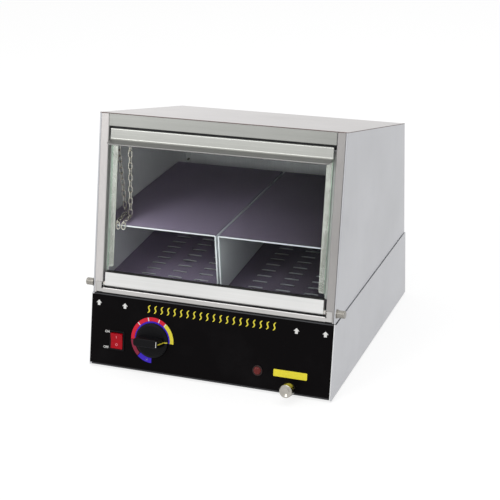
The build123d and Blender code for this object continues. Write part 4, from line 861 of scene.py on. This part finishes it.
@dataclass
class WaterWorks(SubAssembly):
    """Water tank with its heater, sensor, bulb and drain."""

    def finishes(self) -> dict[str, Finish]:
        """Tank steel, dark heater sheath, copper bulb and pipe, and bright fittings.

        Returns:
            The finish of each solid.
        """
        return {
            "water_tank": TANK_STEEL,
            "heater_element": HEATER_SHEATH,
            "heater_nuts": BRIGHT_STEEL,
            "heater_saddles": BRIGHT_STEEL,
            "water_sensor": BRIGHT_STEEL,
            "thermostat_bulb": COPPER,
            "bulb_clip": BRIGHT_STEEL,
            "drain_body": BRIGHT_STEEL,
            "drain_pipe": COPPER,
            "drain_knob": BRIGHT_STEEL,
        }


@dataclass
class Chamber(SubAssembly):
    """Bun shelves and the slotted floor over the water."""

    def finishes(self) -> dict[str, Finish]:
        """Steel with the chamber's light and shade painted in."""
        return {"left_insert": INSERT_STEEL, "right_insert": INSERT_STEEL, "floor_tray": INSERT_STEEL}


@dataclass
class Door(SubAssembly):
    """Leaning glass door with its rails, seals, strips and pivots."""

    def finishes(self) -> dict[str, Finish]:
        """Glass, bright strips and brushed rails.

        Returns:
            The finish of each solid.
        """
        return {
            "door_glass": DOOR_GLASS,
            "door_top_rail": BAND_STEEL,
            "door_bottom_rail": DOOR_STEEL,
            "glass_seals": BLACK_RUBBER,
            "glass_clip": DOOR_STEEL,
            "edge_strips": TRIM_STEEL,
            "hinge_bushes": WHITE_NYLON,
            "pivot_screws": DULL_STEEL,
        }


@dataclass
class DoorChain(SubAssembly):
    """Link chain that stops the open door, with its pin and staple."""

    def finishes(self) -> dict[str, Finish]:
        """Plated links and bright anchors.

        Returns:
            The finish of each solid.
        """
        runs = [f"{side}_{part}" for side in ("hood", "door") for part in ("upper", "lower", "tail")]
        links = {f"chain_{run}": CHAIN_STEEL for run in runs}
        return {**links, "chain_pin": BRIGHT_STEEL, "chain_staple": BRIGHT_STEEL}


@dataclass
class ControlPanel(SubAssembly):
    """Black panel with its switch, thermostat dial, lamp and printed marks."""

    dial: tuple[float, float] = (-95.0, 53.0)
    grip_top: float = 25.6
    cross_at: float = 18.4
    groove: tuple[tuple[float, float], ...] = ((20.56, 24.0), (22.0, 4.62), (23.9, 4.62), (27.3, 2.85))
    paint_rise: tuple[tuple[float, float], ...] = ((0.46, 0.0), (0.44, 0.42), (0.10, 0.42), (0.14, 0.36))
    pointer_half: float = 0.82
    cross_size: tuple[float, float, float] = (1.0, 9.2, 0.3)
    switch: tuple[float, float] = (-155.5, 44.5)
    mark_offset: float = 6.2
    mark_root: float = -0.1
    mark_top: float = 0.12
    bar_size: tuple[float, float, float] = (1.1, 4.4, 0.5)
    ring_radii: tuple[float, float] = (1.2, 2.1)
    scale_inner: float = 30.4
    scale_outer: float = 36.5
    rim_inner: float = 27.6
    tick_hours: tuple[float, ...] = (-1.5, -0.45, 0.6, 1.27)
    tick_half: float = 0.045
    ink_top: float = 0.05
    ink_root: float = -0.15
    arrows: tuple[tuple[float, float], ...] = (
        (-190.0, 102.0), (-144.5, 101.6), (141.7, 100.0), (187.4, 100.6),
    )
    arrow_width: float = 9.4
    arrow_height: float = 8.8
    label: tuple[float, float, float, float] = (136.0, 31.5, 54.0, 11.0)
    waves_from: float = -105.0
    waves_to: float = 111.0
    waves_s: float = 102.0
    waves_pitch: float = 11.0
    waves_bead: float = 0.08

    def finishes(self) -> dict[str, Finish]:
        """Film, plastics and a dark lamp ring.

        Returns:
            The finish of each solid.
        """
        return {
            "fascia": PANEL_FILM,
            "dial_knob": BLACK_PLASTIC,
            "dial_shaft": BRIGHT_STEEL,
            "thermostat_body": WHITE_NYLON,
            "switch_frame": BLACK_PLASTIC,
            "rocker": RED_PLASTIC,
            "lamp_bezel": LAMP_RING,
            "lamp_lens": LAMP_RED,
            "lamp_body": BLACK_PLASTIC,
        }

    def build(self) -> None:
        """Add the printed marks, the label and the pointers."""
        self.print_scale()
        self.print_arrows()
        self.print_words()
        self.print_waves()
        self.add_label()
        self.fill_pointer()
        self.mark_rocker()

    def band(
        self, skin: Skin, start: float, end: float, inner: float, outer: float, lift: float = 0.0
    ) -> Skin:
        """Add an arc of the scale between two hours of the clock.

        At turn a from the top, clockwise, x is the radius times the sine of a and s is
        the radius times its cosine, about the dial's centre.

        Args:
            skin: Where the arc goes.
            start: First hour.
            end: Last hour, clockwise.
            inner: Inner radius.
            outer: Outer radius.
            lift: How far it stands above the other ink.

        Returns:
            The same skin.
        """
        steps = max(2, int(abs(end - start) * 14))
        turn = np.linspace(start, end, steps + 1) * math.pi / 6
        radius = np.array([inner, outer, outer, inner])
        height = np.array([self.ink_root, self.ink_root, self.ink_top + lift, self.ink_top + lift])
        x = self.dial[0] + radius[None, :] * np.sin(turn)[:, None]
        s = self.dial[1] + radius[None, :] * np.cos(turn)[:, None]
        return skin.carry(FRONT.place(x, s, height[None, :]))

    def print_scale(self) -> None:
        """Print the coloured scale around the dial and its ticks."""
        inner, outer, rim = self.scale_inner, self.scale_outer, self.rim_inner
        slot = "black_panel"
        self.band(Skin(), -3.1, 1.25, inner, outer).piece("scale_hot", "cabinet", RED_INK, slot)
        self.band(Skin(), 1.30, 3.1, inner, outer).piece("scale_warm", "cabinet", YELLOW_INK, slot)
        blue = self.band(Skin(), 6.0, 7.35, rim, outer)
        self.band(blue, -3.1, 3.1, rim, inner - 0.3).piece("scale_cool", "cabinet", BLUE_INK, slot)
        self.band(Skin(), 7.4, 8.85, inner, outer).piece("scale_low", "cabinet", DARK_RED_INK, slot)
        ticks = Skin()
        for hour in self.tick_hours:
            self.band(ticks, hour - self.tick_half, hour + self.tick_half, inner, outer - 0.4, 0.04)
        ticks.piece("scale_ticks", "cabinet", WHITE_INK, slot)

    def print_arrows(self) -> None:
        """Print the four plain arrows that point up, each a head on a short stem."""
        half, stem = self.arrow_width / 2, self.arrow_width * 0.24
        top, neck = self.arrow_height / 2, -0.4
        x = np.array([-stem, stem, stem, half, 0.0, -half, -stem])
        s = np.array([-top, -top, neck, neck, top, neck, neck])
        skin = Skin()
        for across, up in self.arrows:
            skin.plate(across + x, up + s, self.ink_root, self.ink_top)
        skin.piece("fill_arrows", "cabinet", WHITE_INK, "black_panel")

    def letters(self, name: str, words: str, at: tuple[float, float], size: float, finish: Finish) -> None:
        """Print a word on the panel.

        Args:
            name: Piece name.
            words: What it says.
            at: Its middle, as x and s.
            size: Letter size in millimetres.
            finish: Its ink.
        """
        curve = bpy.data.curves.new(name, "FONT")
        curve.body = words
        curve.size = size
        curve.align_x = "CENTER"
        curve.align_y = "CENTER"
        curve.extrude = (self.ink_top - self.ink_root) / 2
        curve.offset = 0.02 * size
        holder = bpy.data.objects.new(name + "_text", curve)
        bpy.context.scene.collection.objects.link(holder)
        bpy.context.view_layer.update()
        mesh = bpy.data.meshes.new_from_object(holder.evaluated_get(bpy.context.evaluated_depsgraph_get()))
        bpy.data.objects.remove(holder)
        bpy.data.curves.remove(curve)
        flat = np.empty(len(mesh.vertices) * 3)
        mesh.vertices.foreach_get("co", flat)
        flat = flat.reshape(-1, 3)
        middle = (self.ink_top + self.ink_root) / 2
        placed = FRONT.place(at[0] + flat[:, 0], at[1] + flat[:, 1], middle + flat[:, 2])
        mesh.vertices.foreach_set("co", placed.ravel())
        mesh.update()
        add_piece(name, mesh, "cabinet", finish)

    def print_words(self) -> None:
        """Print ON and OFF beside the switch and HI on the scale."""
        self.letters("word_on", "ON", (-173.4, 57.0), 5.2, WHITE_INK)
        self.letters("word_hi", "HI", (-103.4, 20.9), 3.6, WHITE_INK)
        self.letters("word_off", "OFF", (-174.8, 31.5), 5.2, WHITE_INK)

    def print_waves(self) -> None:
        """Print a plain row of slanted steam strokes, each a double bend drawn as a low round bead."""
        skin = Skin()
        rise, width, slant, sway = 12.5, 1.0, 4.4, 1.8
        t = np.linspace(0, 1, 19)
        around = np.linspace(0, 2 * math.pi, 8, endpoint=False)
        for start in np.arange(self.waves_from, self.waves_to - slant, self.waves_pitch):
            x = start + slant * t + sway * np.sin(2 * math.pi * t)
            s = self.waves_s + rise * (t - 0.5)
            run = np.stack([np.gradient(x), np.gradient(s)])
            run /= np.linalg.norm(run, axis=0)
            taper = width * np.sqrt(np.clip(1.04 - (2 * t - 1) ** 4, 0, 1))
            across = x[:, None] + (taper * run[1])[:, None] * np.cos(around)[None, :]
            up = s[:, None] - (taper * run[0])[:, None] * np.cos(around)[None, :]
            out = self.waves_bead * np.sin(around)[None, :] * np.ones_like(t)[:, None]
            skin.carry(FRONT.place(across, up, out))
        skin.piece("steam_strokes", "cabinet", YELLOW_INK, "black_panel")

    def add_label(self) -> None:
        """Add the bare yellow label."""
        x, s, width, height = self.label
        across, up = rounded_outline(width, height, 1.2)
        Skin().plate(x + across, s + up, self.ink_root, 0.22).piece(
            "blank_label", "cabinet", LABEL_YELLOW, "black_panel"
        )

    def fill_pointer(self) -> None:
        """Fill the groove down the grip's end and over the skirt, and lay a thin white line across the grip's
        top near its end.

        The pointer's section is the groove's floor, as distances out from the dial's
        axis and out of the face, and the same line raised by the paint's thickness.
        """
        x, s = self.dial
        away, out = np.array(self.groove).T
        rise_away, rise_out = np.array(self.paint_rise).T
        raised = (away + rise_away, out + rise_out)
        away, out = np.concatenate([away, raised[0][::-1]]), np.concatenate([out, raised[1][::-1]])
        side = s + np.array([-self.pointer_half, self.pointer_half])
        skin = Skin().carry(FRONT.place(x + away[None, :], side[:, None], out[None, :]))
        skin.piece("dial_pointer", "dial", YELLOW_INK, "black_plastic")
        # A thin white strip across the grip's top, near its end.
        across, up = rounded_outline(*self.cross_size, 3)
        line = Skin().plate(x + self.cross_at + across, s + up, self.grip_top - 0.1, self.grip_top + 0.06)
        line.piece("dial_cross_line", "dial", WHITE_INK, "black_plastic")

    def mark_rocker(self) -> None:
        """Add the raised bar and ring that stand on the rocker's two ends.

        Each mark follows its face: n grows with s by the slope between two points of it.
        """
        x, s = self.switch
        for name, at in (("rocker_bar", s + self.mark_offset), ("rocker_ring", s - self.mark_offset)):
            low, high = (front_of("rocker", x, at + step) for step in (-2.0, 2.0))
            turn = np.linspace(0.02, 2 * math.pi - 0.02, 33)[:, None]
            if name == "rocker_bar":
                across, up = rounded_outline(*self.bar_size, 3)
                across, up = np.stack([across, across]), np.stack([up, up])
                lift = np.array([self.mark_root, self.mark_top])[:, None]
            else:
                inner, outer = self.ring_radii
                radius = np.array([inner, outer, outer, inner])[None, :]
                across, up = radius * np.sin(turn), radius * np.cos(turn)
                lift = np.repeat([self.mark_root, self.mark_top], 2)[None, :]
            out = (low + high) / 2 + (high - low) / 4 * up + lift
            Skin().carry(FRONT.place(x + across, at + up, out)).piece(name, "rocker", PALE_RED, "red_plastic")


# --------------------------------------------------------------------------- studio
@dataclass(frozen=True)
class Studio:
    """Camera, floor and soft light."""

    eye: tuple[float, float, float] = (0.79077, -1.89729, 1.02038)
    azimuth: float = math.radians(22.597)
    elevation: float = math.radians(23.093)
    roll: float = math.radians(-2.507)
    lens: float = 98.99
    sensor: float = 36.0
    floor_size: float = 24.0
    floor_lit: Colour = (0.8, 0.8, 0.8)
    floor_shown: Colour = (0.3, 0.3, 0.3)
    floor_glow: float = 0.76
    white: Colour = (1.0, 1.0, 1.0)
    surround: float = 0.62
    aim: tuple[float, float, float] = (0.0, 0.0, 0.2)
    lamps: tuple[tuple[str, tuple[float, float, float], float, float], ...] = (
        ("key", (-1.3, -2.2, 2.1), 1.6, 26.0),
        ("top", (0.3, 0.2, 2.6), 2.2, 20.0),
    )

    def set_camera(self) -> None:
        """Stand the camera at its eye point and turn it by its three angles."""
        data = bpy.data.cameras.new("view")
        data.lens = self.lens
        data.sensor_width = self.sensor
        data.clip_end = 60.0
        camera = bpy.data.objects.new("view", data)
        bpy.context.scene.collection.objects.link(camera)
        back = Vector((
            math.sin(self.azimuth) * math.cos(self.elevation),
            -math.cos(self.azimuth) * math.cos(self.elevation),
            math.sin(self.elevation),
        ))
        right = (-back).cross(Vector((0, 0, 1))).normalized()
        up = right.cross(-back)
        cosine, sine = math.cos(self.roll), math.sin(self.roll)
        across, upright = cosine * right + sine * up, cosine * up - sine * right
        turned = Matrix((across, upright, back)).transposed().to_4x4()
        camera.matrix_world = Matrix.Translation(self.eye) @ turned
        bpy.context.scene.camera = camera

    def lay_floor(self) -> None:
        """Lay a pale floor that shows white and keeps the object's shadow."""
        half = self.floor_size / 2
        mesh = bpy.data.meshes.new("floor")
        corners = [(-half, -half, 0), (half, -half, 0), (half, half, 0), (-half, half, 0)]
        mesh.from_pydata(corners, [], [(0, 1, 2, 3)])
        floor = bpy.data.objects.new("floor", mesh)
        bpy.context.scene.collection.objects.link(floor)
        paint = bpy.data.materials.new("floor")
        paint.use_nodes = True
        paint.node_tree.nodes.clear()
        graph = Graph(paint.node_tree)
        plain = graph.put("ShaderNodeBsdfDiffuse", {"Color": self.floor_lit}).outputs[0]
        dim = graph.put("ShaderNodeBsdfDiffuse", {"Color": self.floor_shown}).outputs[0]
        glow = graph.put("ShaderNodeEmission", {"Color": self.white, "Strength": self.floor_glow}).outputs[0]
        shown = graph.put("ShaderNodeAddShader", {0: dim, 1: glow}).outputs[0]
        surface = graph.put("ShaderNodeMixShader", {0: self.seen(graph), 1: plain, 2: shown}).outputs[0]
        graph.put("ShaderNodeOutputMaterial", {"Surface": surface})
        mesh.materials.append(paint)

    def seen(self, graph: Graph) -> Socket:
        """Tell which rays see the background.

        Args:
            graph: The tree of a material or the world.

        Returns:
            One for camera, glossy and transmission rays.
        """
        path = graph.put("ShaderNodeLightPath")
        gloss = graph.math("MAXIMUM", path.outputs["Is Glossy Ray"], path.outputs["Is Transmission Ray"])
        return graph.math("MAXIMUM", path.outputs["Is Camera Ray"], gloss)

    def set_light(self) -> None:
        """Light the object softly from all round, more from the front and above."""
        world = bpy.data.worlds.new("surround")
        bpy.context.scene.world = world
        world.use_nodes = True
        world.node_tree.nodes.clear()
        graph = Graph(world.node_tree)
        strength = graph.span(self.seen(graph), 0.0, 1.0, self.surround, 1.0)
        glow = graph.put("ShaderNodeBackground", {"Color": self.white, "Strength": strength}).outputs[0]
        graph.put("ShaderNodeOutputWorld", {"Surface": glow})
        for lamp in self.lamps:
            self.add_lamp(*lamp)

    def add_lamp(self, name: str, where: tuple[float, float, float], size: float, watts: float) -> None:
        """Hang a square lamp that faces the object's middle.

        Args:
            name: Its name.
            where: Its place in metres.
            size: Its side in metres.
            watts: Its power.
        """
        data = bpy.data.lights.new(name, "AREA")
        data.size = size
        data.energy = watts
        lamp = bpy.data.objects.new(name, data)
        bpy.context.scene.collection.objects.link(lamp)
        lamp.location = where
        toward = Vector(self.aim) - Vector(where)
        lamp.rotation_euler = toward.to_track_quat("-Z", "Y").to_euler()


def main() -> None:
    """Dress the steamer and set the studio."""
    logging.basicConfig(level=logging.INFO, format="%(name)s: %(message)s")
    parts: Sequence[SubAssembly] = (
        Hood(), Base(), WaterWorks(), Chamber(), Door(), DoorChain(), ControlPanel(),
    )
    for part in parts:
        part.dress()
        part.build()
    studio = Studio()
    studio.set_camera()
    studio.lay_floor()
    studio.set_light()
    bpy.context.scene.view_settings.view_transform = "Standard"


if __name__ == "__main__":
    main()
